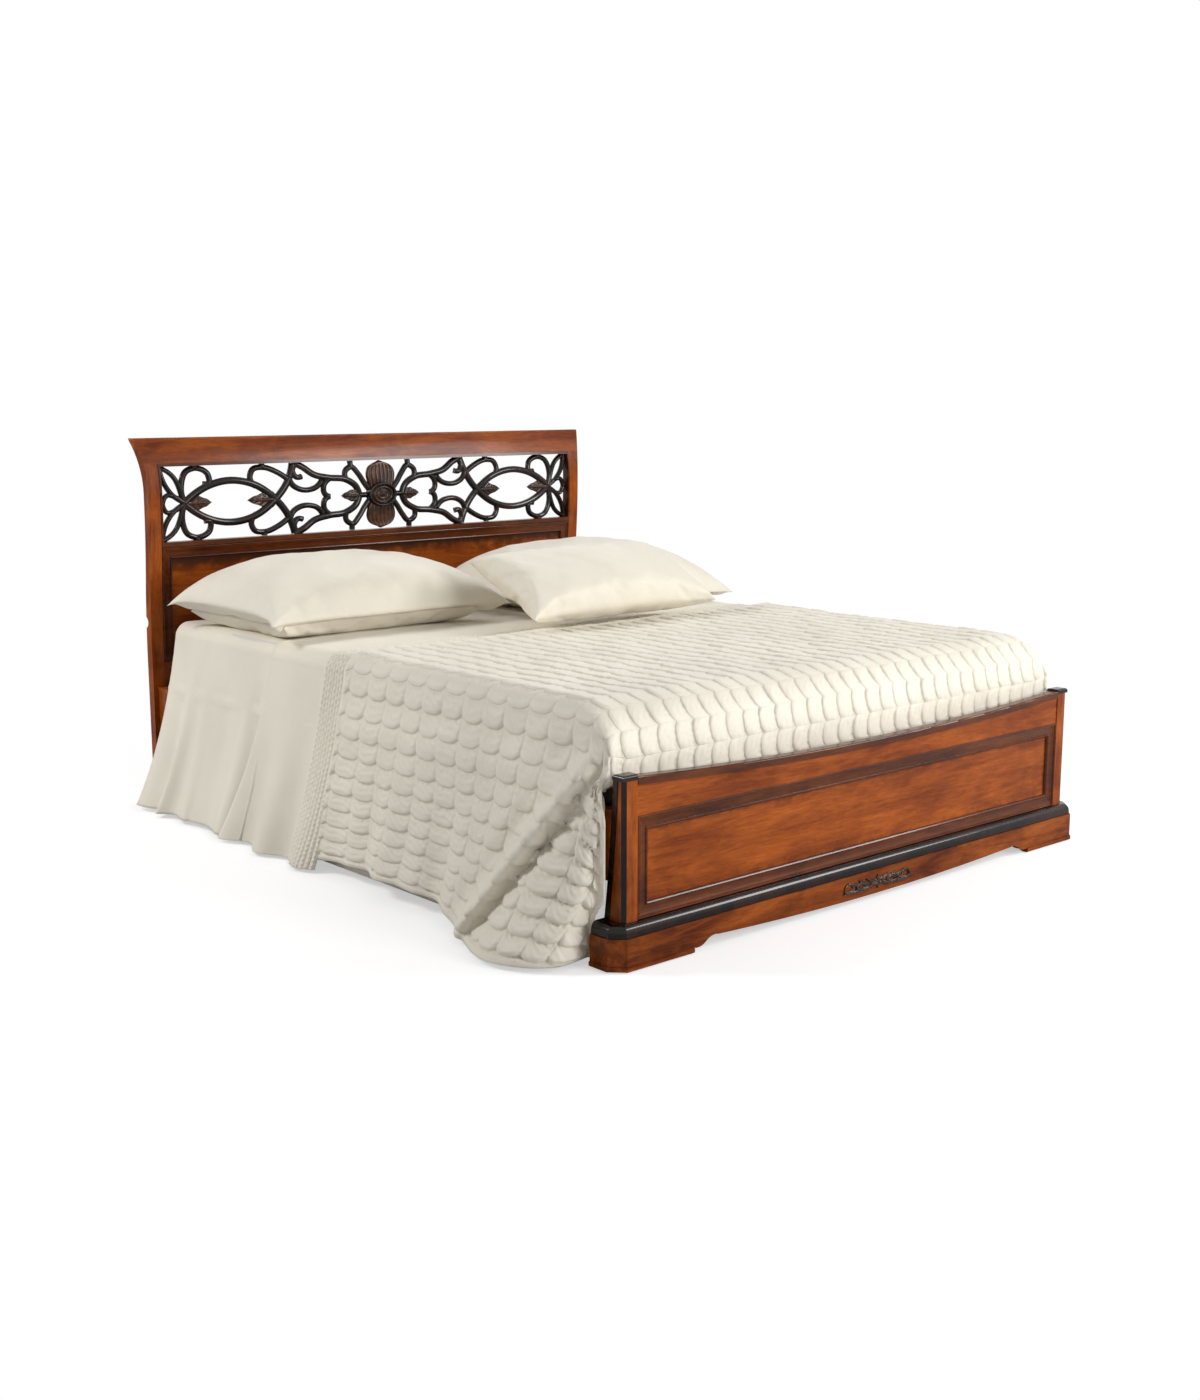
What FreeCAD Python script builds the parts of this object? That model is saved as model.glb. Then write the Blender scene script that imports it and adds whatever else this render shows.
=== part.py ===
"""Double bed with a pierced and carved headboard, panelled footboard on a bracket plinth,
slatted base, mattress and bedding. Millimetres, +Z up, +X to the right seen from the foot,
+Y towards the headboard. The origin is on the floor, in the middle of the bed's box."""
import FreeCAD, Part

import math
import os
from types import SimpleNamespace

from FreeCAD import Placement, Rotation, Vector

SIZES = {
    # whole bed: the mattress's length and the headboard's height carry the rest with them
    "mattress_length": 2000,
    "mattress_start": 122,
    "mattress_head_gap": 18,
    "head_face_setback": "=mattress_start + mattress_length + mattress_head_gap",
    "bed_length": "=head_face_setback + flare_back - lean_forward + head_thickness",
    "headboard_width": 1738,
    "headboard_height": 1102,
    "glide_thickness": 3,
    "fit_clearance": 0.3,
    "cut_overrun": 5,
    # headboard: its front leans forward going up, then flares back and outwards at the top
    "head_thickness": 30,
    "head_post_width": 39,
    "flare_spread": 24,
    "lean_start_height": 430,
    "headboard_lip": 4,
    "flare_tip_height": "=headboard_height - headboard_lip",
    "flare_rise": 159,
    "lean_end_height": "=flare_tip_height - flare_rise",
    "lean_forward": 24,
    "flare_back": 35,
    "top_rail_height": 75,
    "top_rail_bottom": "=headboard_height - top_rail_height",
    "top_rail_nose": 4,
    "post_neck_height": 548,
    "post_neck_length": 34,
    "post_neck_depth": 12,
    "fret_bead_height": 10,
    "fret_top": "=top_rail_bottom - fret_bead_height",
    "fret_height": 226,
    "fret_bottom": "=fret_top - fret_height",
    "fret_recess": 12,
    "fret_thickness": 13,
    "fret_ridge": 3,
    "fret_strand_width": 17,
    "fret_loop_width": 14,
    "fret_ridge_width": 7,
    "fret_bead_width": 6,
    "fret_bead_proud": 2,
    "boss_half_width": 50,
    "boss_half_height": 37,
    "boss_rim": 7,
    "boss_proud": 9,
    "boss_clearance": 0.15,
    "mid_bead_height": 15,
    "mid_rail_bead_bottom": "=fret_bottom - mid_bead_height",
    "mid_rail_height": 52,
    "mid_rail_bottom": "=fret_bottom - mid_rail_height",
    "head_panel_height": 295,
    "bottom_rail_top": "=mid_rail_bottom - head_panel_height",
    "bottom_rail_height": 120,
    "bottom_rail_bottom": "=bottom_rail_top - bottom_rail_height",
    "head_panel_recess": 10,
    "head_panel_thickness": 12,
    "head_moulding_width": 37,
    "head_moulding_height": 13,
    # footboard
    "foot_post_outer": 831,
    "foot_post_width": 42,
    "foot_post_setback": 27.6,
    "foot_post_top": 431,
    "foot_post_top_depth": 34,
    "foot_post_bottom_depth": 62,
    "foot_post_bulge": 4,
    "foot_cap_height": 12,
    "foot_cap_round": 7,
    "foot_cap_overhang": 1.5,
    "foot_edge_chamfer": 8,
    "foot_edge_width": 15,
    "foot_edge_thickness": 2,
    "foot_frame_setback": 30,
    "foot_frame_thickness": 22,
    "frieze_bottom": 337,
    "frieze_end_top": 408,
    "frieze_dip": 27,
    "cap_lip_height": 18,
    "cap_lip_overhang": 4,
    "foot_panel_setback": 38,
    "foot_panel_thickness": 12,
    "foot_moulding_width": 36,
    "foot_moulding_height": 11,
    "foot_rail_height": 62,
    "foot_rail_thickness": 22,
    # plinth and its ebonised moulding
    "plinth_width": 1750,
    "plinth_bead_proud": 3,
    "plinth_height": 75,
    "plinth_wall": 22,
    "plinth_depth": 92,
    "plinth_cant": 33,
    "plinth_foot_length": 237,
    "plinth_ogee_length": 78,
    "plinth_bead_height": 13,
    "apron_end_height": 29,
    "apron_middle_height": 14,
    "ovolo_top": 103,
    "ovolo_inset": 4,
    "ovolo_radius": 18,
    "ornament_length": 276,
    "ornament_height": 36,
    "ornament_thickness": 5,
    "ornament_rib": 7,
    "ornament_rib_thickness": 4,
    "ornament_base_length": 182,
    "ornament_base_height": 18,
    "ornament_base_thickness": 1.5,
    # side rails and their fittings
    "rail_inner": 806,
    "rail_thickness": 25,
    "rail_bottom": 190,
    "rail_height": 160,
    "ledge_width": 25,
    "ledge_height": 40,
    "ledge_bottom": 230,
    "ledge_end_gap": 60,
    "hook_plate_height": 110,
    "hook_plate_width": 18,
    "hook_plate_thickness": 3,
    "hook_length": 14,
    "hook_height": 16,
    "hook_spacing": 48,
    # slatted base
    "base_half_width": 797,
    "base_beam_width": 30,
    "base_beam_height": 40,
    "base_end_gap": 14,
    "centre_beam_width": 40,
    "slat_count": 13,
    "slat_width": 60,
    "slat_thickness": 8,
    "slat_rise": 9,
    "slat_lift": 3,
    "holder_length": 42,
    "holder_width": 70,
    "holder_height": 15,
    "holder_wall": 2,
    "centre_leg_radius": 22,
    "centre_leg_plate": 4,
    "centre_leg_plate_width": 70,
    "centre_foot_radius": 26,
    "centre_foot_height": 12,
    # mattress and bedding
    "mattress_half_width": 800,
    "mattress_height": 220,
    "mattress_round": 60,
    "mattress_edge_round": 38,
    "knee_gap": 1,
    "sheet_start": 170,
    "sheet_thickness": 3,
    "sheet_hem_half_width": 872,
    "sheet_hem_height": 14,
    "sheet_head_gap": 72,
    "sheet_head_end": "=head_face_setback - sheet_head_gap",
    "open_length": 1020,
    "quilt_end": "=head_face_setback - open_length",
    "flap_gap": 6,
    "flap_start": "=quilt_end + flap_gap",
    "flap_length": 374,
    "flap_end": "=flap_start + flap_length",
    "flap_hem_half_width": 930,
    "flap_fold_count": 3,
    "fold_hem_half_width": 938,
    "fold_depth": 18,
    "fold_count": 5,
    "quilt_thickness": 20,
    "quilt_start": 200,
    "quilt_hem_half_width": 915,
    "quilt_lobe_half_width": 1030,
    "quilt_lobe_start": 104,
    "quilt_tuck_setback": 82,
    "quilt_tuck_bottom": 356,
    "quilt_hem_height": 6,
    "quilt_hem_rise": 18,
    "pillow_length": 830,
    "pillow_width": 600,
    "pillow_centre": 437,
    "pillow_head_gap": 422,
    "pillow_centre_setback": "=head_face_setback - pillow_head_gap",
    "pillow_edge": 8,
    "lower_pillow_length": 684,
    "lower_pillow_centre": 458,
    "lower_pillow_width": 540,
    "lower_pillow_thickness": 106,
    "upper_pillow_crown": 762,
    "upper_pillow_edge_height": 668,
    "upper_pillow_droop": 58,
    "right_pillow_shift": 90,
    "lower_pillow_droop": 22,
    "front_pillow_length": 770,
    "front_pillow_width": 415,
    "front_pillow_thickness": 132,
    "front_pillow_lean": 29,
    "front_pillow_centre": 110,
    "front_pillow_step": 486,
    "front_pillow_setback": "=pillow_centre_setback - front_pillow_step",
}

doc = FreeCAD.newDocument("DoubleBed")
sheet = doc.addObject("Spreadsheet::Sheet", "Sizes")
for row, (alias, value) in enumerate(SIZES.items(), start=1):
    sheet.set("A%d" % row, alias)
    sheet.set("B%d" % row, str(value))
    sheet.setAlias("B%d" % row, alias)
doc.recompute()
d = SimpleNamespace(**{alias: float(sheet.get(alias)) for alias in SIZES})

foot_y = -d.bed_length / 2
head_y = foot_y + d.head_face_setback
head_half = d.headboard_width / 2
head_body_half = head_half - d.flare_spread
post_inner = head_body_half - d.head_post_width
foot_inner = d.foot_post_outer - d.foot_post_width
plinth_half = d.plinth_width / 2
SIDES = {"left": -1, "right": 1}
FLATNESS_SHARE = 1e-4
nodes = {}


def register(name, obj):
    """Gives the object its node name and puts it on the list of pieces to write."""
    obj.Label = name
    nodes[name] = obj
    return obj


def feature(name, shape):
    """A piece whose shape is worked out by Part's own functions."""
    obj = doc.addObject("Part::Feature", name)
    obj.Shape = shape
    return register(name, obj)


def cut_away(name, base, tool_shape):
    """The base object with a tool shape taken away, as the piece of this name."""
    tool = doc.addObject("Part::Feature", name + "_waste")
    tool.Shape = tool_shape
    cut = doc.addObject("Part::Cut", name + "_cut")
    cut.Base = base
    cut.Tool = tool
    return register(name, cut)


def bind(obj, expressions):
    """Ties properties of an object to the sheet of sizes."""
    for path, expression in expressions.items():
        obj.setExpression(path, expression)


def block(name, size, corner):
    """A box whose three sides and lowest corner are tied to the sheet of sizes."""
    obj = doc.addObject("Part::Box", name)
    bind(obj, dict(zip(("Length", "Width", "Height"), size)))
    bind(obj, dict(zip(("Placement.Base.x", "Placement.Base.y", "Placement.Base.z"), corner)))
    return obj


def line(start, end):
    return ("line", start, end)


def arc(start, middle, end):
    return ("arc", start, middle, end)


def sagged(start, end, sag):
    """An arc from start to end that bulges to the left of the way by sag."""
    along = (end[0] - start[0], end[1] - start[1])
    reach = math.hypot(along[0], along[1])
    middle = ((start[0] + end[0]) / 2 - along[1] / reach * sag, (start[1] + end[1]) / 2 + along[0] / reach * sag)
    return arc(start, middle, end)


def outline(points):
    """Straight pieces through the points and back to the first."""
    return [line(a, b) for a, b in zip(points, points[1:] + points[:1])]


def geometry(pieces, place):
    """Part curves of the pieces, with place turning a flat point into one in space."""
    made = []
    for kind, *points in pieces:
        spots = [place(point) for point in points]
        made.append(Part.LineSegment(*spots) if kind == "line" else Part.Arc(*spots))
    return made


def wire(pieces, place):
    return Part.Wire(Part.__sortEdges__([curve.toShape() for curve in geometry(pieces, place)]))


def face(pieces, place):
    return Part.Face(wire(pieces, place))


def is_flat(corners):
    """Whether four corners lie in one plane."""
    normal = (corners[1] - corners[0]).cross(corners[2] - corners[0])
    return abs(normal.dot(corners[3] - corners[0])) <= normal.Length * d.fit_clearance * FLATNESS_SHARE


def faceted(rings):
    """A closed solid of flat facets through rings of points that all have the same count."""
    facets = [list(rings[0]), list(rings[-1])]
    for low, high in zip(rings, rings[1:]):
        for here, after in zip(range(len(low)), [*range(1, len(low)), 0]):
            corners = [low[here], low[after], high[after], high[here]]
            if is_flat(corners):
                facets.append(corners)
            elif low[here].y < low[after].y:
                facets += [corners[:3], [corners[0], *corners[2:]]]
            else:
                facets += [[corners[0], corners[1], corners[3]], corners[1:]]
    shell = Part.makeShell([Part.Face(Part.makePolygon(facet + facet[:1])) for facet in facets])
    shell.sewShape()
    solid = Part.makeSolid(shell)
    if solid.Volume < 0:
        solid.reverse()
    return solid


def in_side_view(x):
    """Puts a (y, z) point into the plane at this x."""
    return lambda point: Vector(x, point[0], point[1])


def in_front_view(y):
    """Puts an (x, z) point into the plane at this y."""
    return lambda point: Vector(point[0], y, point[1])


def in_plan(z):
    """Puts an (x, y) point into the plane at this height."""
    return lambda point: Vector(point[0], point[1], z)


def body_sketch(body, role, pieces):
    """A sketch of the pieces on one of the body's own origin planes."""
    sketch = body.newObject("Sketcher::SketchObject", body.Name + "Sketch")
    plane = [part for part in body.Origin.OriginFeatures if part.Role == role][0]
    sketch.AttachmentSupport = (plane, [""])
    sketch.MapMode = "FlatFace"
    sketch.addGeometry(geometry(pieces, lambda point: Vector(point[0], point[1], 0)), False)
    return sketch


def padded_body(name, role, pieces, length, offset, reverse=False):
    """A body padded from one sketch; length and the sketch's offset are tied to the sheet."""
    body = doc.addObject("PartDesign::Body", name)
    sketch = body_sketch(body, role, pieces)
    sketch.setExpression("AttachmentOffset.Base.z", offset)
    pad = body.newObject("PartDesign::Pad", name + "Pad")
    pad.Profile = sketch
    pad.setExpression("Length", length)
    pad.Reversed = reverse
    doc.recompute()
    return body


# Headboard curve, seen from the side: a long forward lean, then a flare to the rear
lean_middle = (d.lean_start_height + d.lean_end_height) / 2
half_rise = (d.lean_end_height - d.lean_start_height) / 2
lean_radius = (half_rise ** 2 + (d.lean_forward / 2) ** 2) / d.lean_forward
flare_radius = (d.flare_rise ** 2 + d.flare_back ** 2) / (2 * d.flare_back)
curve_breaks = (d.lean_start_height, lean_middle, d.lean_end_height)


def face_at(z, depth=0):
    """Y of the headboard's front face at this height, or of a face this far behind it."""
    if z <= d.lean_start_height:
        lean = 0
    elif z <= lean_middle:
        lean = lean_radius - math.sqrt(lean_radius ** 2 - (z - d.lean_start_height) ** 2)
    elif z <= d.lean_end_height:
        lean = d.lean_forward - lean_radius + math.sqrt(lean_radius ** 2 - (d.lean_end_height - z) ** 2)
    else:
        lean = d.lean_forward - flare_radius + math.sqrt(flare_radius ** 2 - (z - d.lean_end_height) ** 2)
    return head_y + depth - lean


def face_run(low, high, depth):
    """The headboard's curve between two heights, as lines and arcs going up."""
    heights = [low] + [z for z in curve_breaks if low < z < high] + [high]
    pieces = []
    for a, b in zip(heights, heights[1:]):
        start, end = (face_at(a, depth), a), (face_at(b, depth), b)
        if b <= d.lean_start_height:
            pieces.append(line(start, end))
        else:
            middle = (a + b) / 2
            pieces.append(arc(start, (face_at(middle, depth), middle), end))
    return pieces


def strip(low, high, front, rear):
    """Side outline of a board that follows the headboard's curve between two depths."""
    pieces = face_run(low, high, front)
    pieces.append(line((face_at(high, front), high), (face_at(high, rear), high)))
    pieces += face_run(low, high, rear)
    pieces.append(line((face_at(low, rear), low), (face_at(low, front), low)))
    return pieces


def curved_board(name, low, high, front, rear, half_width):
    """A full-width headboard board that follows the curve."""
    body = padded_body(name, "YZ_Plane", strip(low, high, front, rear), half_width + " * 2", "-" + half_width)
    return register(name, body)


INNER = "(Sizes.headboard_width / 2 - Sizes.flare_spread - Sizes.head_post_width)"


def outside_of_flare(sign):
    """All that lies beyond one end of the headboard: an upright side that sweeps outwards in the flare."""
    over = d.cut_overrun
    radius = (d.flare_rise ** 2 + d.flare_spread ** 2) / (2 * d.flare_spread)
    half_rise_of_flare = d.flare_rise / 2
    bow = head_body_half + radius - math.sqrt(radius ** 2 - half_rise_of_flare ** 2)
    waist, tip = (sign * head_body_half, d.lean_end_height), (sign * head_half, d.flare_tip_height)
    swept = arc(waist, (sign * bow, d.lean_end_height + half_rise_of_flare), tip)
    far, top = sign * (head_half + over), d.headboard_height + over
    corners = [tip, (tip[0], top), (far, top), (far, 0), (waist[0], 0), waist]
    straight = [line(a, b) for a, b in zip(corners, corners[1:])]
    depth = d.lean_forward + d.head_thickness + d.flare_back + 2 * over
    waste = face([swept] + straight, in_front_view(head_y - d.lean_forward - over))
    return waste.extrude(Vector(0, depth, 0))


def head_posts():
    """Posts with the small neck cut into their rear edge at mattress height."""
    neck_low = d.post_neck_height - d.post_neck_length / 2
    neck_high = d.post_neck_height + d.post_neck_length / 2
    bottom = d.glide_thickness
    top = d.top_rail_bottom
    pieces = face_run(bottom, top, 0)
    pieces.append(line((face_at(top), top), (face_at(top, d.head_thickness), top)))
    pieces += face_run(neck_high, top, d.head_thickness)
    rear_high = (face_at(neck_high, d.head_thickness), neck_high)
    rear_low = (face_at(neck_low, d.head_thickness), neck_low)
    pieces.append(sagged(rear_low, rear_high, d.post_neck_depth))
    pieces += face_run(bottom, neck_low, d.head_thickness)
    pieces.append(line((face_at(bottom, d.head_thickness), bottom), (face_at(bottom), bottom)))
    for side, sign in SIDES.items():
        offset = INNER if sign > 0 else "-Sizes.headboard_width / 2"
        name = "headboard_post_" + side
        board = padded_body(name + "_board", "YZ_Plane", pieces, "Sizes.head_post_width + Sizes.flare_spread", offset)
        cut_away(name, board, outside_of_flare(sign))


def head_top_rail():
    """Full-width top rail: the flare, with a soft nose at the tip."""
    low, tip, top = d.top_rail_bottom, d.flare_tip_height, d.headboard_height
    nose = d.top_rail_nose
    front_tip = (face_at(tip), tip)
    rear_tip = (face_at(tip, d.head_thickness), tip)
    pieces = face_run(low, tip, 0)
    pieces.append(sagged(front_tip, (front_tip[0] + nose, top), nose / 4))
    pieces.append(line((front_tip[0] + nose, top), (rear_tip[0] - nose / 2, top)))
    pieces.append(sagged((rear_tip[0] - nose / 2, top), rear_tip, nose / 4))
    pieces += face_run(low, tip, d.head_thickness)
    pieces.append(line((face_at(low, d.head_thickness), low), (face_at(low), low)))
    name = "headboard_top_rail"
    board = padded_body(name + "_board", "YZ_Plane", pieces, "Sizes.headboard_width", "-Sizes.headboard_width / 2")
    cut_away(name, board, Part.makeCompound([outside_of_flare(sign) for sign in SIDES.values()]))


def head_boards():
    """Mid rail, bottom rail and the recessed panel between them."""
    rear = d.head_thickness - d.fit_clearance
    curved_board("headboard_mid_rail", d.mid_rail_bottom, d.fret_bottom, d.head_panel_recess, rear, INNER)
    curved_board("headboard_bottom_rail", d.bottom_rail_bottom, d.bottom_rail_top, d.head_panel_recess, rear, INNER)
    panel_rear = d.head_panel_recess + d.head_panel_thickness
    curved_board("headboard_panel", d.bottom_rail_top, d.mid_rail_bottom, d.head_panel_recess, panel_rear, INNER)


def fret_bead():
    """Thin bead around the fretwork: a bar above and below, and a fillet on each post."""
    front, rear = -d.fret_bead_proud, d.head_thickness - d.fit_clearance
    span = Vector(2 * post_inner, 0, 0)
    top = face(strip(d.fret_top, d.top_rail_bottom, front, rear), in_side_view(-post_inner)).extrude(span)
    low = strip(d.mid_rail_bead_bottom, d.fret_bottom, front, d.head_panel_recess)
    bottom = face(low, in_side_view(-post_inner)).extrude(span)
    bars = [top, bottom]
    for sign in SIDES.values():
        side = face(strip(d.fret_bottom, d.fret_top, front, rear), in_side_view(sign * post_inner))
        bars.append(side.extrude(Vector(-sign * d.fret_bead_width, 0, 0)))
    feature("fretwork_bead", Part.makeCompound(bars))


# The fretwork's curves are faceted: a facet for each FRET_TURN of a strand, in radians
FRET_TURN = 0.35
CURVE_STEPS = 90
BOSS_SIDES = 28
FRET_CHORDS = 4
FINE_RIBBON_SHARE = 0.8

# Fretwork centre lines in shares of its half length and half height, from the centre out.
# One quarter is written, and the other three mirror it.
LONG_STRAND_SHARES = [
    (0.412, -1.04), (0.450, -0.40), (0.505, 0.03), (0.590, 0.42), (0.698, 0.57), (0.800, 0.43), (0.897, 0.0),
]
PETAL_SHARES = [(0.896, 0.02), (0.908, 0.42), (0.884, 0.84), (0.838, 0.93), (0.792, 0.76), (0.790, 0.52), (0.815, 0.50)]
LOOP_SHARES = [(0.440, 0.53), (0.492, 0.76), (0.550, 0.89), (0.597, 0.83), (0.610, 0.62), (0.588, 0.38)]
C_SCROLL_SHARES = [(0.418, 1.0), (0.375, 0.88), (0.320, 0.64), (0.255, 0.54), (0.168, 0.46), (0.120, 0.24), (0.106, 0.0)]
SCROLL_SHARES = [(0.436, 0.60), (0.424, 0.40), (0.390, 0.25), (0.345, 0.22), (0.306, 0.31), (0.284, 0.47)]
HOOK_SHARES = [(0.404, 0.94), (0.417, 0.76), (0.405, 0.60), (0.378, 0.60)]
RING_SHARES = [(0.250, 0.50), (0.276, 0.30), (0.273, 0.10), (0.250, 0.0)]
DIAGONAL_SHARES = [(0.168, 0.46), (0.170, 0.70), (0.140, 0.82), (0.106, 0.60), (0.080, 0.34), (0.050, 0.10)]
LANCET_OUTER_SHARES = [(0.898, 0.02), (0.945, 0.23), (0.974, 0.50), (0.992, 0.97)]
LANCET_INNER_SHARES = [(0.905, 0.05), (0.916, 0.40), (0.936, 0.70), (0.992, 0.97)]
END_LOOP_SHARES = [(0.896, 0.0), (0.936, 0.18), (0.968, 0.23), (0.988, 0.0)]
BRIDGE_SHARES = [(0.108, 0.0), (0.040, 0.0)]
TAB_SHARES = ((0.846, 0.9), (0.552, 0.86), (0.142, 0.8))
LEAF_SHARES = (
    ((0.893, 0.0), (0.808, 0.42), (0.815, 0.20), (0.783, 0.0)),
    ((0.500, 0.0), (0.592, 0.36), (0.582, 0.17), (0.620, 0.0)),
    ((0.108, 0.0), (0.146, 0.30), (0.150, 0.14), (0.186, 0.0)),
)
SHELL_SHARES = ((0.058, 0.30), (0.062, 0.62), (0.050, 0.86), (0.024, 0.98))


def fret_point(share, sign_x=1, sign_z=1):
    """A share of the fretwork's half length and half height, as an (x, z) place."""
    half_length = post_inner - d.fret_bead_width
    half_height = (d.fret_top - d.fret_bottom) / 2
    return (sign_x * share[0] * half_length, (d.fret_top + d.fret_bottom) / 2 + sign_z * share[1] * half_height)


def turn_marks(curve):
    """Parameters along a curve, one at each time that it has turned by FRET_TURN."""
    low, high = curve.FirstParameter, curve.LastParameter
    marks, way = [low], curve.tangent(low)[0]
    for step in range(1, CURVE_STEPS):
        at = low + (high - low) * step / CURVE_STEPS
        ahead = curve.tangent(at)[0]
        if ahead.getAngle(way) > FRET_TURN:
            marks.append(at)
            way = ahead
    return marks + [high]


def ribbon(points, width):
    """Flat ribbon of this width along a smooth line through (x, z) points, on the plane y = 0."""
    middle = Part.BSplineCurve()
    middle.interpolate([in_front_view(0)(point) for point in points])
    left, right = [], []
    for at in turn_marks(middle):
        spot, way = middle.value(at), middle.tangent(at)[0]
        across = Vector(-way.z, 0, way.x) * width / 2
        left.append(spot + across)
        right.append(spot - across)
    start = middle.value(middle.FirstParameter) - middle.tangent(middle.FirstParameter)[0] * width / 2
    end = middle.value(middle.LastParameter) + middle.tangent(middle.LastParameter)[0] * width / 2
    rim = [start, *left, end, *right[::-1]]
    return Part.Face(Part.makePolygon(rim + rim[:1]))


def fret_ribbon(shares, width):
    return ribbon([fret_point(share) for share in shares], width)


def fret_quarter():
    """The ribbons of one quarter at their full width."""
    faces = [fret_ribbon(shares, d.fret_strand_width) for shares in (LONG_STRAND_SHARES, C_SCROLL_SHARES)]
    for shares in (PETAL_SHARES, LOOP_SHARES, SCROLL_SHARES, HOOK_SHARES, RING_SHARES, DIAGONAL_SHARES):
        faces.append(fret_ribbon(shares, d.fret_loop_width))
    for shares in (LANCET_OUTER_SHARES, LANCET_INNER_SHARES, END_LOOP_SHARES, BRIDGE_SHARES):
        faces.append(fret_ribbon(shares, d.fret_loop_width * FINE_RIBBON_SHARE))
    return faces


def fret_ridges():
    """The raised ridges of one quarter: one along each long strand, scroll and petal."""
    return [fret_ribbon(shares, d.fret_ridge_width) for shares in (LONG_STRAND_SHARES, C_SCROLL_SHARES, PETAL_SHARES)]


def fret_fillings():
    """The carved leaves, the shell above the boss and the tabs to the frame, full width only."""
    faces = []
    for root, shoulder, notch, tip in LEAF_SHARES:
        lower = [(share[0], -share[1]) for share in (notch, shoulder)]
        points = [fret_point(share) for share in (root, shoulder, notch, tip, *lower)]
        faces.append(face(outline(points), in_front_view(0)))
    for share in TAB_SHARES:
        low, high = fret_point(share), fret_point((share[0], 1.02))
        half = d.fret_loop_width / 2
        corners = [(low[0] - half, low[1]), (low[0] + half, low[1]), (high[0] + half, high[1]), (high[0] - half, high[1])]
        faces.append(face(outline(corners), in_front_view(0)))
    return faces


def fret_shell():
    """The shell carved above the boss, full width."""
    rim = [fret_point(share) for share in SHELL_SHARES]
    crown = fret_point((0, 1.02))
    right = [arc(rim[0], rim[1], rim[2]), line(rim[2], rim[3]), line(rim[3], crown)]
    left = [(kind, *[(-x, z) for x, z in points]) for kind, *points in right]
    return face([line((-rim[0][0], rim[0][1]), rim[0])] + right + left, in_front_view(0))


def fret_prism(faces, reach):
    """The faces, which lie on the plane y = 0, as one solid through the whole headboard."""
    prisms = []
    for piece in faces:
        piece.translate(Vector(0, head_y - reach, 0))
        prisms.append(piece.extrude(Vector(0, 2 * reach, 0)))
    return prisms[0].multiFuse(prisms[1:]).removeSplitter() if len(prisms) > 1 else prisms[0]


def fret_layer(quarter, middle, front, rear):
    """One layer of fretwork between two depths: a quarter mirrored twice, and middle faces."""
    half_length = post_inner - d.fret_bead_width
    reach = d.lean_forward + d.flare_back
    centre = Vector(0, 0, (d.fret_top + d.fret_bottom) / 2)
    solid = fret_prism(quarter, reach)
    for normal in (Vector(0, 0, 1), Vector(1, 0, 0)):
        solid = solid.fuse(solid.mirror(centre, normal))
    solid = solid.multiFuse([fret_prism([piece], reach) for piece in middle])
    heights = [d.fret_bottom + d.fret_height * step / FRET_CHORDS for step in range(FRET_CHORDS + 1)]
    side = [(face_at(z, front), z) for z in heights] + [(face_at(z, rear), z) for z in heights[::-1]]
    slab = face(outline(side), in_side_view(-half_length))
    return solid.common(slab.extrude(Vector(2 * half_length, 0, 0)))


def oval(half_width, half_height, y):
    """Points of an oval about the boss's middle, in the plane at this y."""
    middle = (d.fret_top + d.fret_bottom) / 2
    turns = [2 * math.pi * side / BOSS_SIDES for side in range(BOSS_SIDES)]
    return [Vector(half_width * math.cos(turn), y, middle + half_height * math.sin(turn)) for turn in turns]


def boss_oval(grow):
    """Face of the boss's oval, grown all round, on the plane y = 0."""
    rim = oval(d.boss_half_width + grow, d.boss_half_height + grow, 0)
    return Part.Face(Part.makePolygon(rim + rim[:1]))


def fretwork():
    """Pierced scrollwork with a raised ridge along each strand, and the boss in its middle."""
    base_front = d.fret_recess + d.fret_ridge
    base_rear = d.fret_recess + d.fret_thickness
    shell = fret_shell()
    upside_down = shell.mirror(Vector(0, 0, (d.fret_top + d.fret_bottom) / 2), Vector(0, 0, 1))
    middle = [boss_oval(d.boss_rim), shell, upside_down]
    base = fret_layer(fret_quarter() + fret_fillings(), middle, base_front, base_rear)
    ridge = fret_layer(fret_ridges(), [boss_oval(d.boss_rim / 2)], d.fret_recess, base_front)
    reach = d.lean_forward + d.flare_back
    hole = boss_oval(d.boss_clearance)
    hole.translate(Vector(0, head_y - reach, 0))
    solid = base.fuse(ridge).cut(hole.extrude(Vector(0, 2 * reach, 0)))
    feature("headboard_fretwork", solid)
    boss()


# Rings of the boss from its rear: share of its half width, share of its height above the fretwork
BOSS_SHARES = ((1.0, 0.0), (0.94, 1.0), (0.80, 1.0), (0.74, 0.0), (0.66, 0.0), (0.58, 1.0), (0.30, 1.4), (0.08, 1.5))


def boss():
    """Oval boss let into the fretwork: a plain drum, a rim, a sunk ring and a low dome."""
    middle = (d.fret_top + d.fret_bottom) / 2
    rear = face_at(middle, d.fret_recess + d.fret_thickness)
    front = face_at(middle, d.fret_recess)
    rings = [oval(d.boss_half_width, d.boss_half_height, rear)]
    for share, height in BOSS_SHARES:
        rings.append(oval(share * d.boss_half_width, share * d.boss_half_height, front - height * d.boss_proud))
    feature("fretwork_boss", faceted(rings))


# Profile of the panel mouldings from the outer edge in: shares of the width and of the height
MOULDING_SHARES = (
    (0.0, 0.0), (0.0, 0.72), (0.03, 0.93), (0.08, 1.0), (0.13, 0.93), (0.16, 0.72), (0.22, 0.72), (0.34, 0.52),
    (0.52, 0.39), (0.78, 0.36), (0.82, 0.58), (0.88, 0.66), (0.95, 0.48), (1.0, 0.15), (1.0, 0.0),
)
MOULDING_STEPS = 6


def moulding_profile(width, height):
    """Panel moulding across its width: outer bead, long hollow, inner bead."""
    return outline([(along * width, out * height) for along, out in MOULDING_SHARES])


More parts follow.
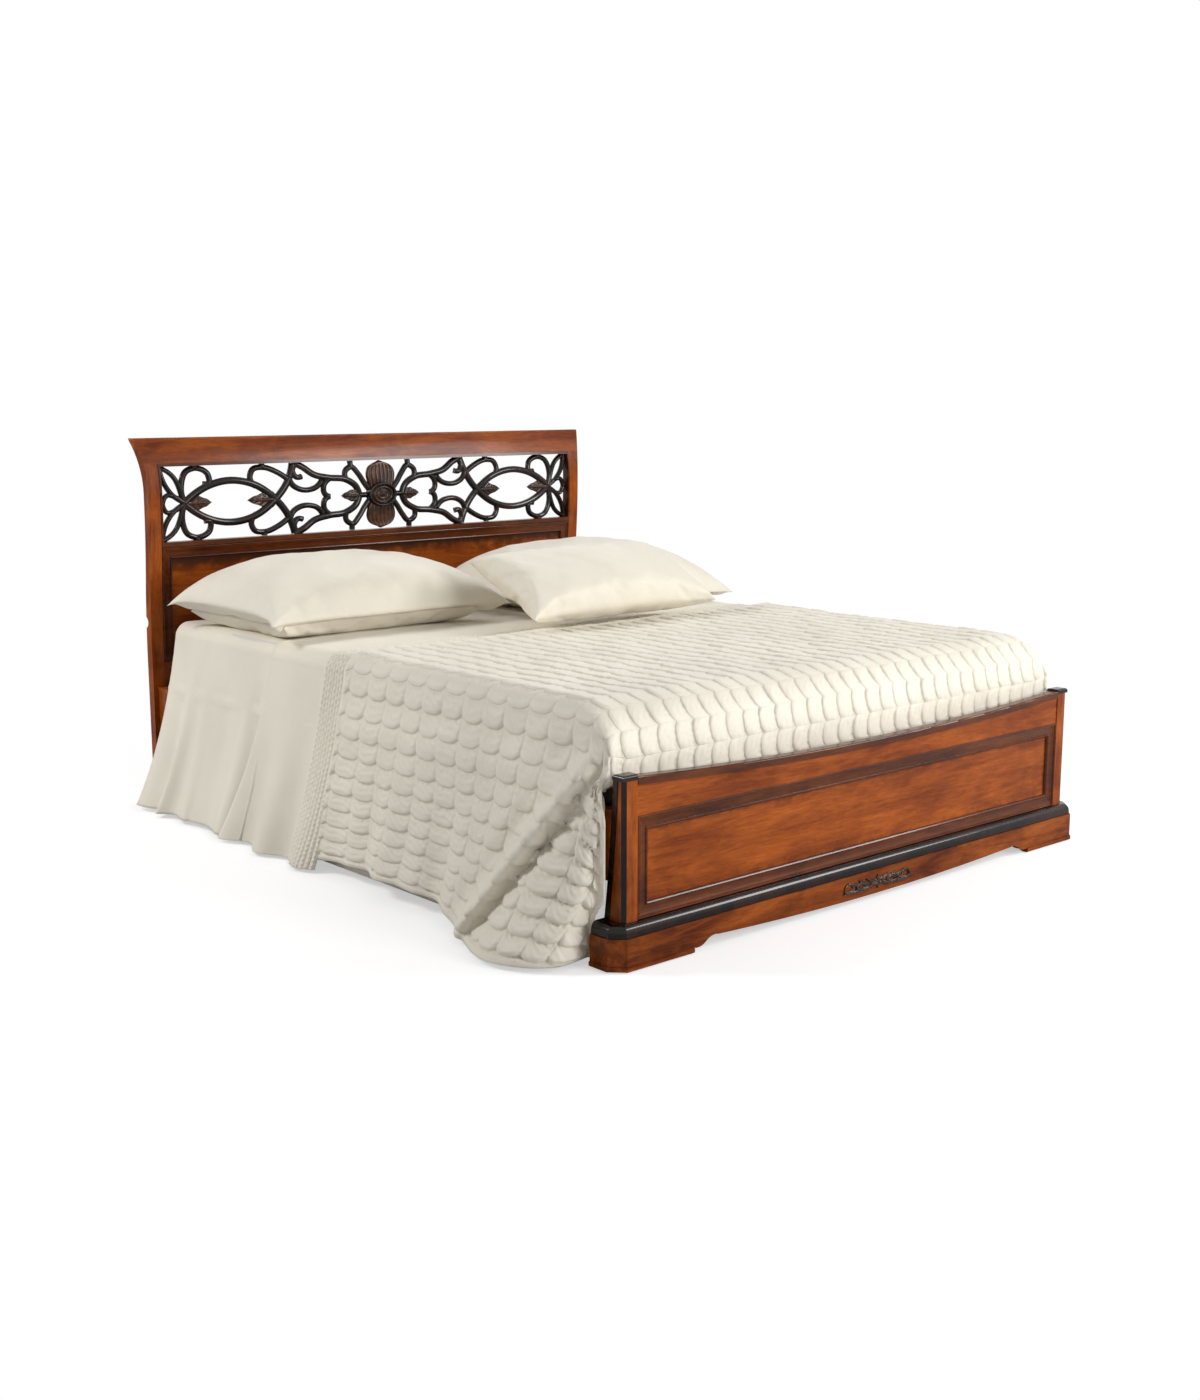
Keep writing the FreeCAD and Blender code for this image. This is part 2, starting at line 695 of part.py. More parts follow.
def moulding_frame(name, half_width, low, high, width, height, back_at, steps):
    """Four mitred lengths around a panel, on a back whose Y at any height is back_at(z)."""
    profile = moulding_profile(width, height)
    reach = width + d.cut_overrun
    legs = []
    for sign in SIDES.values():
        sections = []
        for step in range(steps + 1):
            z = low + (high - low) * step / steps
            place = lambda point: Vector(sign * (half_width - point[0]), back_at(z) - point[1], z)
            sections.append(wire(profile, place))
        leg = Part.makeLoft(sections, True, True)
        for z, up in ((low, 1), (high, -1)):
            corner = (sign * (half_width + reach), z - up * reach)
            inside = (sign * (half_width - reach), z + up * reach)
            waste = face(outline([corner, inside, (inside[0], z - up * reach)]), in_front_view(back_at(z) - reach - d.lean_forward))
            leg = leg.cut(waste.extrude(Vector(0, 2 * (reach + d.lean_forward), 0)))
        legs.append(leg)
    for z, up in ((low, 1), (high, -1)):
        step = back_at(z + up * width) - back_at(z)
        length = math.hypot(step, width)
        along, out = (step / length, up * width / length), (-width / length, up * step / length)
        place = lambda point: Vector(-half_width, back_at(z) + point[0] * along[0] + point[1] * out[0],
                                     z + point[0] * along[1] + point[1] * out[1])
        leg = face(profile, place).extrude(Vector(2 * half_width, 0, 0))
        for sign in SIDES.values():
            corner = (sign * (half_width + reach), z - up * reach)
            inside = (sign * (half_width - reach), z + up * reach)
            waste = face(outline([corner, inside, (corner[0], z + up * reach)]), in_front_view(back_at(z) - reach - d.lean_forward))
            leg = leg.cut(waste.extrude(Vector(0, 2 * (reach + d.lean_forward), 0)))
        legs.append(leg)
    feature(name, Part.makeCompound(legs))


def head_moulding():
    """Bolection moulding around the headboard panel, bent with the board."""
    moulding_frame(
        "headboard_panel_moulding", post_inner - d.fit_clearance, d.bottom_rail_top - d.head_moulding_width / 2,
        d.mid_rail_bead_bottom, d.head_moulding_width, d.head_moulding_height,
        lambda z: face_at(z, d.head_panel_recess - d.fit_clearance), MOULDING_STEPS,
    )


head_posts()
head_top_rail()
head_boards()
fret_bead()
fretwork()
head_moulding()


# Footboard
def foot_rear(z):
    """Y of the rear face of a foot post at this height: it hollows towards the wide bottom."""
    share = (z - d.ovolo_top) / (d.foot_post_top - d.ovolo_top)
    depth = d.foot_post_bottom_depth + share * (d.foot_post_top_depth - d.foot_post_bottom_depth)
    return foot_y + d.foot_post_setback + depth - 4 * d.foot_post_bulge * share * (1 - share)


def foot_side(low, high, front, rear_gap=0):
    """Side outline of a post piece between two heights, from front to the hollow rear."""
    middle = (low + high) / 2
    top = (foot_rear(high) - rear_gap, high)
    bottom = (foot_rear(low) - rear_gap, low)
    return [
        line((front, low), (front, high)),
        line((front, high), top),
        arc(top, (foot_rear(middle) - rear_gap, middle), bottom),
        line(bottom, (front, low)),
    ]


def foot_posts():
    """Posts of the footboard, their ebonised edge strips and their rounded caps."""
    front = foot_y + d.foot_post_setback
    core_top = d.foot_post_top - d.foot_cap_height
    chamfer = d.foot_edge_chamfer
    skin = d.foot_edge_thickness
    for side, sign in SIDES.items():
        outer = sign * (d.foot_post_outer - skin)
        core = face(foot_side(d.ovolo_top, core_top, front), in_side_view(outer))
        core = core.extrude(Vector(-sign * (d.foot_post_width - skin), 0, 0))
        edge = [(outer + sign * d.cut_overrun, front - d.cut_overrun), (outer - sign * chamfer, front - d.cut_overrun),
                (outer - sign * chamfer, front), (outer, front + chamfer), (outer + sign * d.cut_overrun, front + chamfer)]
        waste = face(outline(edge), in_plan(d.ovolo_top)).extrude(Vector(0, 0, core_top - d.ovolo_top))
        feature("footboard_post_" + side, core.cut(waste))
        corner = [(outer - sign * chamfer, front), (outer, front + chamfer), (outer + sign * skin, front + chamfer),
                  (outer + sign * skin, front + chamfer - skin), (outer - sign * chamfer + sign * skin, front)]
        corner_strip = face(outline(corner), in_plan(d.ovolo_top)).extrude(Vector(0, 0, core_top - d.ovolo_top))
        back = face(foot_side(d.ovolo_top, core_top, front), in_side_view(outer)).extrude(Vector(sign * skin, 0, 0))
        inner = foot_side(d.ovolo_top - d.cut_overrun, core_top + d.cut_overrun, front - d.cut_overrun, d.foot_edge_width)
        keep = face(inner, in_side_view(outer)).extrude(Vector(sign * skin, 0, 0))
        cap = foot_cap(sign, front, core_top)
        feature("footboard_post_edging_" + side, Part.makeCompound([corner_strip, back.cut(keep), cap]))


def foot_cap(sign, front, low):
    """Rounded ebonised cap of one post."""
    rear = foot_rear(low)
    over, radius = d.foot_cap_overhang, d.foot_cap_round
    x = sorted((sign * (d.foot_post_outer + over), sign * foot_inner))
    cap = Part.makeBox(x[1] - x[0], rear + over - front + over, d.foot_cap_height, Vector(x[0], front - over, low))
    top = d.foot_post_top
    outer = sign * (d.foot_post_outer + over)
    edges = [edge for edge in cap.Edges if all(abs(v.Z - top) < over for v in edge.Vertexes)
             and (abs(edge.CenterOfMass.x - outer) < over or abs(edge.Vertexes[0].X - edge.Vertexes[1].X) > over)]
    return cap.makeFillet(radius, edges)


def dipped_top(end_height, dip, half_width):
    """The sagging top line of the footboard, from left to right."""
    return arc((-half_width, end_height), (0, end_height - dip), (half_width, end_height))


def foot_frame():
    """Frieze rail with its dipped top, the lip that follows it, the panel and the low rail."""
    front = foot_y + d.foot_frame_setback
    top = d.frieze_end_top
    frieze = [dipped_top(top, d.frieze_dip, foot_inner)]
    frieze += [line((foot_inner, top), (foot_inner, d.frieze_bottom)),
               line((foot_inner, d.frieze_bottom), (-foot_inner, d.frieze_bottom)),
               line((-foot_inner, d.frieze_bottom), (-foot_inner, top))]
    body = padded_body("footboard_frieze_rail", "XZ_Plane", frieze, "Sizes.foot_frame_thickness",
                       "Sizes.bed_length / 2 - Sizes.foot_frame_setback", True)
    register("footboard_frieze_rail", body)
    lip_top = top + d.cap_lip_height
    lip = [dipped_top(top, d.frieze_dip, foot_inner), line((foot_inner, top), (foot_inner, lip_top)),
           arc((foot_inner, lip_top), (0, lip_top - d.frieze_dip), (-foot_inner, lip_top)),
           line((-foot_inner, lip_top), (-foot_inner, top))]
    body = padded_body("footboard_top_lip", "XZ_Plane", lip, "Sizes.foot_frame_thickness + Sizes.cap_lip_overhang * 2",
                       "Sizes.bed_length / 2 - Sizes.foot_frame_setback + Sizes.cap_lip_overhang", True)
    pad = body.Tip
    names = ["Edge%d" % (number + 1) for number, edge in enumerate(pad.Shape.Edges)
             if edge.Length > foot_inner and edge.BoundBox.YLength < d.fit_clearance
             and edge.BoundBox.ZMax > top + d.cap_lip_height / 2]
    fillet = body.newObject("PartDesign::Fillet", "TopLipRound")
    fillet.Base = (pad, names)
    fillet.setExpression("Radius", "Sizes.cap_lip_overhang")
    body.Tip = fillet
    register("footboard_top_lip", body)
    panel = block("footboard_panel",
                  ("2 * (Sizes.foot_post_outer - Sizes.foot_post_width)", "Sizes.foot_panel_thickness",
                   "Sizes.frieze_bottom - Sizes.ovolo_top"),
                  ("-(Sizes.foot_post_outer - Sizes.foot_post_width)", "Sizes.foot_panel_setback - Sizes.bed_length / 2",
                   "Sizes.ovolo_top"))
    register("footboard_panel", panel)
    rail = block("footboard_lower_rail",
                 ("2 * (Sizes.foot_post_outer - Sizes.foot_post_width)", "Sizes.foot_rail_thickness", "Sizes.foot_rail_height"),
                 ("-(Sizes.foot_post_outer - Sizes.foot_post_width)",
                  "Sizes.foot_panel_setback + Sizes.foot_panel_thickness - Sizes.bed_length / 2", "Sizes.ovolo_top"))
    register("footboard_lower_rail", rail)
    back = foot_y + d.foot_panel_setback
    moulding_frame(
        "footboard_panel_moulding", foot_inner, d.ovolo_top, d.frieze_bottom, d.foot_moulding_width,
        d.foot_moulding_height, lambda z: back, 1,
    )


def plinth_outline(inset):
    """Plan of the plinth's outside with its canted corners, drawn in by inset."""
    half, front, cant = plinth_half - inset, foot_y + inset, d.plinth_cant - inset * CANT_INSET_SHARE
    rear = foot_y + d.plinth_depth
    return [(-half, rear), (-half, front + cant), (-half + cant, front), (half - cant, front), (half, front + cant), (half, rear)]


CANT_INSET_SHARE = 2 - math.sqrt(2)


def plinth():
    """U-shaped plinth: bracket feet with an ogee end, a bowed apron and a base bead on the feet."""
    bottom, top = d.glide_thickness, d.plinth_height
    inner = plinth_outline(d.plinth_bead_proud + d.plinth_wall)
    ring = outline(plinth_outline(d.plinth_bead_proud) + inner[::-1])
    board = face(ring, in_plan(bottom)).extrude(Vector(0, 0, top - bottom))
    foot_end = plinth_half - d.plinth_foot_length
    ogee_end = foot_end - d.plinth_ogee_length
    step = d.plinth_bead_height
    middle = ((foot_end + ogee_end) / 2, (step + d.apron_end_height) / 2)
    bow = d.plinth_ogee_length / 16
    arch = []
    for sign in (-1, 1):
        low, high = (sign * foot_end, step), (sign * ogee_end, d.apron_end_height)
        centre = (sign * middle[0], middle[1])
        arch += [line((sign * foot_end, bottom - d.cut_overrun), low), sagged(low, centre, sign * bow),
                 sagged(centre, high, -sign * bow)]
    arch.append(arc((-ogee_end, d.apron_end_height), (0, d.apron_middle_height), (ogee_end, d.apron_end_height)))
    arch.append(line((-foot_end, bottom - d.cut_overrun), (foot_end, bottom - d.cut_overrun)))
    waste = face(arch, in_front_view(foot_y - d.cut_overrun)).extrude(Vector(0, d.plinth_depth, 0))
    feature("footboard_plinth", board.cut(waste))
    bead_ring = outline(plinth_outline(0) + plinth_outline(d.plinth_bead_proud)[::-1])
    bead = face(bead_ring, in_plan(bottom)).extrude(Vector(0, 0, d.plinth_bead_height - bottom))
    gap = Part.makeBox(2 * foot_end, d.plinth_depth, d.plinth_height, Vector(-foot_end, foot_y - d.cut_overrun, 0))
    feature("plinth_foot_beads", bead.cut(gap))


def ovolo():
    """Ebonised moulding between plinth and footboard: a slab with a rounded upper edge."""
    points = plinth_outline(d.plinth_bead_proud + d.ovolo_inset)
    slab = face(outline(points), in_plan(d.plinth_height)).extrude(Vector(0, 0, d.ovolo_top - d.plinth_height))
    rear = foot_y + d.plinth_depth
    edges = [edge for edge in slab.Edges
             if all(abs(v.Z - d.ovolo_top) < d.fit_clearance for v in edge.Vertexes)
             and not all(abs(v.Y - rear) < d.fit_clearance for v in edge.Vertexes)]
    feature("footboard_ebonised_moulding", slab.makeFillet(d.ovolo_radius, edges))


ORNAMENT_SCROLL_SHARES = ((0.28, -0.25), (0.42, -0.66), (0.62, -0.76), (0.82, -0.50), (0.94, -0.10), (0.95, 0.30),
                          (0.86, 0.64), (0.70, 0.80), (0.58, 0.62))
ORNAMENT_LEAF_SHARES = ((0.10, 0.20), (0.20, 0.66), (0.32, 0.78), (0.44, 0.48), (0.58, 0.14), (0.74, 0.06))
ROSETTE_SIDES = 16


def carved_rib(points, width, y):
    """Face of an even rib along straight steps through (x, z) points, mitred where it turns."""
    spots = [Vector(x, y, z) for x, z in points]
    left, right = [], []
    for before, spot, after in zip([None, *spots], spots, [*spots[1:], None]):
        ways = [(end - start).normalize() for start, end in ((before, spot), (spot, after)) if start and end]
        way = sum(ways, Vector()).normalize()
        across = Vector(-way.z, 0, way.x) * width / 2 / way.dot(ways[0])
        left.append(spot + across)
        right.append(spot - across)
    rim = left + right[::-1]
    return Part.Face(Part.makePolygon(rim + rim[:1]))


def ornament():
    """Carved spray applied to the plinth's middle: a rosette with a leaf and a scroll each side."""
    half_length, half_height = d.ornament_length / 2, d.ornament_height / 2
    middle = (d.plinth_height + d.apron_middle_height) / 2
    y = foot_y + d.plinth_bead_proud
    parts = []
    for sign in SIDES.values():
        for shares in (ORNAMENT_SCROLL_SHARES, ORNAMENT_LEAF_SHARES):
            points = [(sign * x * (half_length - d.ornament_rib / 2), middle + z * (half_height - d.ornament_rib / 2))
                      for x, z in shares]
            parts.append(carved_rib(points, d.ornament_rib, y).extrude(Vector(0, -d.ornament_rib_thickness, 0)))
    turns = [2 * math.pi * side / ROSETTE_SIDES for side in range(ROSETTE_SIDES)]
    rim = [(half_height * math.cos(turn), middle + half_height * math.sin(turn)) for turn in turns]
    rosette = face(outline(rim), in_front_view(y)).extrude(Vector(0, -d.ornament_thickness, 0))
    corner = Vector(-d.ornament_base_length / 2, y - d.ornament_base_thickness, middle - d.ornament_base_height / 2)
    base = Part.makeBox(d.ornament_base_length, d.ornament_base_thickness, d.ornament_base_height, corner)
    feature("plinth_ornament", rosette.multiFuse(parts + [base]).removeSplitter())


foot_posts()
foot_frame()
plinth()
ovolo()
ornament()


# Side rails and slatted base
rail_outer = d.rail_inner + d.rail_thickness
rail_middle = d.rail_inner + d.rail_thickness / 2
rail_top = d.rail_bottom + d.rail_height
plate_middle = d.rail_bottom + d.rail_height / 2
ledge_top = d.ledge_bottom + d.ledge_height
base_top = ledge_top + d.base_beam_height
base_start = foot_y + d.plinth_depth + d.base_end_gap
base_end = head_y - d.base_end_gap


def hook_ends():
    """Where the hook plates meet the posts: the plate's face, the socket's face and the way into the post."""
    low, high = plate_middle - d.hook_plate_height / 2, plate_middle + d.hook_plate_height / 2
    return ((foot_rear(low) + d.fit_clearance, foot_rear(high), -1), (head_y - d.fit_clearance, head_y, 1))


def plate(x, y, way, grow=0.0):
    """One steel plate whose face is at y and whose body lies on the side away from way."""
    half_width, half_height = d.hook_plate_width / 2 + grow, d.hook_plate_height / 2 + grow
    low = y if way < 0 else y - d.hook_plate_thickness
    return Part.makeBox(2 * half_width, d.hook_plate_thickness, 2 * half_height,
                        Vector(x - half_width, low, plate_middle - half_height))


def hooks(x, y, reach, way, grow=0.0):
    """Two hooks on one plate, each with a lip that points down."""
    made = []
    half = d.hook_plate_thickness / 2 + grow
    for shift in (-d.hook_spacing / 2, d.hook_spacing / 2):
        z = plate_middle + shift - d.hook_height / 2
        tip = y + way * reach
        lip = tip - way * d.hook_plate_thickness * 2
        arm_low, arm_high = sorted((y, tip + way * grow))
        lip_low, lip_high = sorted((lip - way * grow, tip + way * grow))
        made.append(Part.makeBox(2 * half, arm_high - arm_low, d.hook_height + 2 * grow, Vector(x - half, arm_low, z - grow)))
        drop = d.hook_height / 2
        made.append(Part.makeBox(2 * half, lip_high - lip_low, drop + grow, Vector(x - half, lip_low, z - drop - grow)))
    return made


def rails():
    """Side rails with their ledges, and the hooks and sockets that hold them to the posts."""
    plates, sockets = [], []
    for side, sign in SIDES.items():
        x = sign * rail_middle
        middle = (d.rail_bottom + rail_top) / 2
        gap = d.fit_clearance
        head_end = head_y - gap
        pieces = [line((foot_rear(d.rail_bottom) + gap, d.rail_bottom), (head_end, d.rail_bottom)),
                  line((head_end, d.rail_bottom), (head_end, rail_top)),
                  line((head_end, rail_top), (foot_rear(rail_top) + gap, rail_top)),
                  arc((foot_rear(rail_top) + gap, rail_top), (foot_rear(middle) + gap, middle),
                      (foot_rear(d.rail_bottom) + gap, d.rail_bottom))]
        offset = "Sizes.rail_inner" if sign > 0 else "-(Sizes.rail_inner + Sizes.rail_thickness)"
        rail = padded_body("rail_board_" + side, "YZ_Plane", pieces, "Sizes.rail_thickness", offset)
        waste = []
        for end, (plate_y, socket_y, way) in zip(("foot", "head"), hook_ends()):
            reach = abs(socket_y - plate_y) + d.hook_plate_thickness + d.hook_length
            steel = plate(x, plate_y, way)
            pocket = plate(x, plate_y, way, gap)
            mouth_low, mouth_high = sorted((plate_y, socket_y))
            mouth = Part.makeBox(pocket.BoundBox.XLength, mouth_high - mouth_low, pocket.BoundBox.ZLength,
                                 Vector(pocket.BoundBox.XMin, mouth_low, pocket.BoundBox.ZMin))
            socket_back = plate(x, socket_y, -way, gap)
            socket = plate(x, socket_y, -way).cut(Part.makeCompound(hooks(x, plate_y, reach, way, gap)))
            plates.append(steel.multiFuse(hooks(x, plate_y, reach, way)))
            sockets.append(socket)
            waste += [pocket, mouth]
            holes = [socket_back, mouth] + hooks(x, plate_y, reach, way, gap)
            post = nodes[("headboard_post_" if way > 0 else "footboard_post_") + side]
            post.Label = post.Label + "_blank"
            cut_away(("headboard_post_" if way > 0 else "footboard_post_") + side, post, Part.makeCompound(holes))
        cut_away("side_rail_" + side, rail, Part.makeCompound(waste))
        corner_x = "Sizes.rail_inner - Sizes.ledge_width" if sign > 0 else "-Sizes.rail_inner"
        ledge = block("rail_ledge_" + side,
                      ("Sizes.ledge_width", "Sizes.head_face_setback - Sizes.plinth_depth - 2 * Sizes.ledge_end_gap",
                       "Sizes.ledge_height"),
                      (corner_x, "Sizes.plinth_depth + Sizes.ledge_end_gap - Sizes.bed_length / 2", "Sizes.ledge_bottom"))
        register("rail_ledge_" + side, ledge)
    feature("bed_hook_plates", Part.makeCompound(plates))
    feature("bed_hook_sockets", Part.makeCompound(sockets))

FOOT_SIDES = 6
CENTRE_HOLDER_SHARE = 0.76


def slatted_base():
    """Frame with a centre beam, curved slats in plastic holders, and a centre leg on a six-sided foot."""
    half, beam = d.base_half_width, d.base_beam_width
    outer = [(-half, base_start), (half, base_start), (half, base_end), (-half, base_end)]
    inner = [(-half + beam, base_start + beam), (half - beam, base_start + beam),
             (half - beam, base_end - beam), (-half + beam, base_end - beam)]
    body = padded_body("slat_frame", "XY_Plane", outline(outer) + outline(inner), "Sizes.base_beam_height",
                       "Sizes.ledge_bottom + Sizes.ledge_height")
    register("slat_frame", body)
    margin = "Sizes.plinth_depth + Sizes.base_end_gap + Sizes.base_beam_width"
    centre = block("slat_frame_centre_beam",
                   ("Sizes.centre_beam_width",
                    "Sizes.head_face_setback - Sizes.base_end_gap - Sizes.base_beam_width - (" + margin + ")",
                    "Sizes.base_beam_height"),
                   ("-Sizes.centre_beam_width / 2", margin + " - Sizes.bed_length / 2", "Sizes.ledge_bottom + Sizes.ledge_height"))
    register("slat_frame_centre_beam", centre)
    slat_low = base_top + d.slat_lift
    slat_outer = half - beam / 4
    slat_inner = d.holder_wall * 2
    side_holder_inner = half - d.holder_length
    span = (base_end - base_start - beam) / d.slat_count
    slats, holders = {"left": [], "right": []}, []
    gap = d.fit_clearance
    for number in range(int(d.slat_count)):
        y = base_start + beam / 2 + span * (number + 0.5)
        pockets = []
        for side, sign in SIDES.items():
            ends = sorted((sign * slat_outer, sign * slat_inner))
            middle = (ends[0] + ends[1]) / 2
            top = slat_low + d.slat_thickness
            pieces = [arc((ends[0], slat_low), (middle, slat_low + d.slat_rise), (ends[1], slat_low)),
                      line((ends[1], slat_low), (ends[1], top)),
                      arc((ends[1], top), (middle, top + d.slat_rise), (ends[0], top)),
                      line((ends[0], top), (ends[0], slat_low))]
            slat = face(pieces, in_front_view(y - d.slat_width / 2)).extrude(Vector(0, d.slat_width, 0))
            slats[side].append(slat)
            pockets.append(Part.makeBox(ends[1] - ends[0] + 2 * gap, d.slat_width + 2 * gap,
                                        d.holder_height - d.slat_lift - d.holder_wall + gap,
                                        Vector(ends[0] - gap, y - d.slat_width / 2 - gap, slat_low - gap)))
        for low, length in ((-half, d.holder_length), (-d.holder_length * CENTRE_HOLDER_SHARE, None), (side_holder_inner, d.holder_length)):
            length = length or -2 * low
            holder = Part.makeBox(length, d.holder_width, d.holder_height, Vector(low, y - d.holder_width / 2, base_top))
            holders.append(holder.cut(Part.makeCompound(pockets)))
    feature("slats_left", Part.makeCompound(slats["left"]))
    feature("slats_right", Part.makeCompound(slats["right"]))
    feature("slat_holders", Part.makeCompound(holders))
    leg_y = (base_start + base_end) / 2
    plate_half = d.centre_leg_plate_width / 2
    leg_plate = Part.makeBox(2 * plate_half, 2 * plate_half, d.centre_leg_plate,
                             Vector(-plate_half, leg_y - plate_half, ledge_top - d.centre_leg_plate))
    tube = Part.makeCylinder(d.centre_leg_radius, ledge_top - d.centre_leg_plate - d.centre_foot_height,
                             Vector(0, leg_y, d.centre_foot_height))
    feature("centre_leg", tube.fuse(leg_plate))
    turns = [2 * math.pi * side / FOOT_SIDES for side in range(FOOT_SIDES)]
    rim = [(d.centre_foot_radius * math.cos(turn), leg_y + d.centre_foot_radius * math.sin(turn)) for turn in turns]
    feature("centre_leg_foot", face(outline(rim), in_plan(0)).extrude(Vector(0, 0, d.centre_foot_height)))


def floor_pads():
    """Nylon glides under the headboard posts and felt pads under the plinth."""
    inset = d.glide_thickness
    glides = []
    for sign in SIDES.values():
        corner = Vector(min(sign * (head_body_half - inset), sign * (post_inner + inset)), head_y + inset, 0)
        glides.append(Part.makeBox(d.head_post_width - 2 * inset, d.head_thickness - 2 * inset, d.glide_thickness, corner))
    feature("headboard_glides", Part.makeCompound(glides))
    wall = d.plinth_wall - 2 * inset
    front = foot_y + d.plinth_bead_proud + inset
    outer = plinth_half - d.plinth_bead_proud - inset
    pads = []
    for sign in SIDES.values():
        start = sign * (plinth_half - d.plinth_cant - inset)
        end = sign * (plinth_half - d.plinth_foot_length + inset)
        pads.append(Part.makeBox(abs(start - end), wall, d.glide_thickness, Vector(min(start, end), front, 0)))
        low = foot_y + d.plinth_cant + 2 * inset
        pads.append(Part.makeBox(wall, foot_y + d.plinth_depth - inset - low, d.glide_thickness,
                                 Vector(min(sign * outer, sign * (outer - wall)), low, 0)))
    feature("plinth_pads", Part.makeCompound(pads))


rails()
slatted_base()
floor_pads()


# Mattress and bedding
slat_crown = base_top + d.slat_lift + d.slat_thickness + d.slat_rise
mattress_low = slat_crown + d.fit_clearance
mattress_top = mattress_low + d.mattress_height
sheet_lift = d.fit_clearance
cover_lift = 2 * d.fit_clearance + d.sheet_thickness


CORNER_STEPS = 6
EDGE_DEGREES = (0, 22.5, 45, 67.5, 90)


def rounded_ring(half_width, low, high, radius, z):
    """Level ring of points round a rectangle about x = 0 with rounded corners."""
    ring = []
    for number, (x, y) in enumerate(((half_width, high), (-half_width, high), (-half_width, low), (half_width, low))):
        centre_x = x - math.copysign(radius, x)
        centre_y = y - radius if y == high else y + radius
        for step in range(CORNER_STEPS + 1):
            turn = math.radians(90 * (number + step / CORNER_STEPS))
            ring.append(Vector(centre_x + radius * math.cos(turn), centre_y + radius * math.sin(turn), z))
    return ring


def mattress():
    """Mattress with rounded corners and edges."""
    low, high = foot_y + d.mattress_start, foot_y + d.mattress_start + d.mattress_length
    levels = []
    for degrees in EDGE_DEGREES:
        turn = math.radians(degrees)
        levels.append((d.mattress_edge_round * (1 - math.sin(turn)), d.mattress_edge_round * (1 - math.cos(turn))))
    rings = [(inset, mattress_low + rise) for inset, rise in levels]
    rings += [(inset, mattress_top - rise) for inset, rise in levels[::-1]]
    feature("mattress", faceted([
        rounded_ring(d.mattress_half_width - inset, low + inset, high - inset, d.mattress_round - inset, z)
        for inset, z in rings
    ]))


def cloth_over(start, end, lift, thickness):
    """Cloth over the mattress from one distance from the foot to another, down to the rails."""
    bend = math.sqrt(0.5)
    lines = []
    for grow in (0, thickness):
        top = mattress_top + lift + grow
        edge = d.mattress_half_width + lift + grow
        radius = d.mattress_edge_round + lift + grow
        centre = (edge - radius, top - radius)
        bow = (centre[0] + radius * bend, centre[1] + radius * bend)
        lines.append([(centre[0], top), bow, (edge, centre[1]), (rail_outer + lift + d.knee_gap + grow, rail_top)])
    pieces = []
    for points in lines:
        for sign in (-1, 1):
            crest, bow, side, knee = [(sign * x, z) for x, z in points]
            pieces += [arc(crest, bow, side), line(side, knee)]
        pieces.append(line((-points[0][0], points[0][1]), points[0]))
    pieces += [line((sign * lines[0][-1][0], rail_top), (sign * lines[1][-1][0], rail_top)) for sign in (-1, 1)]
    return face(pieces, in_front_view(foot_y + start)).extrude(Vector(0, end - start, 0))


def hem_line(marks, steps):
    """The hem's marks with the bow between each two broken into straight steps."""
    spots = []
    for (y, x, bow), (next_y, next_x, next_bow) in zip(marks, marks[1:]):
        for step in range(steps if bow else 1):
            share = step / steps
            spots.append((y + share * (next_y - y), x + share * (next_x - x) + 4 * bow * share * (1 - share)))
    return spots + [marks[-1][:2]]


def cloth_drop(sign, marks, lift, thickness, hem_height, hem_rise=0.0, steps=2):
    """One side's hanging cloth: straight at the rail, folded at the hem. Each mark is a distance
    from the foot, the hem's half width there and how far the fold to the next mark bows out."""
    knee = rail_outer + lift + d.knee_gap
    hem = hem_line(marks, steps)
    low, high = [], []
    for grow, spots in ((thickness, hem), (0, hem[::-1])):
        for y, x in spots:
            low.append(Vector(sign * (x - thickness + grow), foot_y + y, hem_height + hem_rise * (y - hem[0][0])))
            high.append(Vector(sign * (knee + grow), foot_y + y, rail_top))
    return faceted([low, high])


def wavy(start, end, half_width, depth, count):
    """Marks of a hem whose folds bow out and in by turns."""
    pitch = (end - start) / (2 * count)
    return [(start + number * pitch, half_width, depth if number % 2 == 0 else -depth) for number in range(2 * count + 1)]


def under_sheet():
    """Bottom sheet: plain where the covers hide it, in upright folds beside the pillows."""
    half, low = d.sheet_hem_half_width, d.sheet_hem_height
    pieces = [cloth_over(d.sheet_start, d.sheet_head_end, sheet_lift, d.sheet_thickness)]
    for sign in SIDES.values():
        plain = [(d.sheet_start, half, 0), (d.flap_end, half, 0)]
        folds = wavy(d.flap_end, d.sheet_head_end, d.fold_hem_half_width, d.fold_depth, int(d.fold_count))
        pieces.append(cloth_drop(sign, plain, sheet_lift, d.sheet_thickness, low))
        pieces.append(cloth_drop(sign, folds, sheet_lift, d.sheet_thickness, low))
    feature("under_sheet", pieces[0].multiFuse(pieces[1:]).removeSplitter())


def turned_down_sheet():
    """Top sheet turned down over the covers, hanging in soft waves at the sides."""
    end = d.flap_end - d.fit_clearance
    pieces = [cloth_over(d.flap_start, end, cover_lift, d.sheet_thickness)]
    marks = wavy(d.flap_start, end, d.flap_hem_half_width, d.fold_depth / 2, int(d.flap_fold_count))
    pieces += [cloth_drop(sign, marks, cover_lift, d.sheet_thickness, d.sheet_hem_height) for sign in SIDES.values()]
    feature("sheet_turndown", pieces[0].multiFuse(pieces[1:]).removeSplitter())


# Hem of the quilt: how far along it each mark is, how far out, and the bow to the next mark,
# the last two as shares of the lobe's reach beyond the plain hem
LOBE_STEPS = 4
QUILT_HEM_SHARES = ((0.0, 0.22, 0.66), (0.24, 0.46, -0.12), (0.48, 0.0, 0.14), (0.78, 0.0, -0.1), (1.0, 0.0, 0.0))


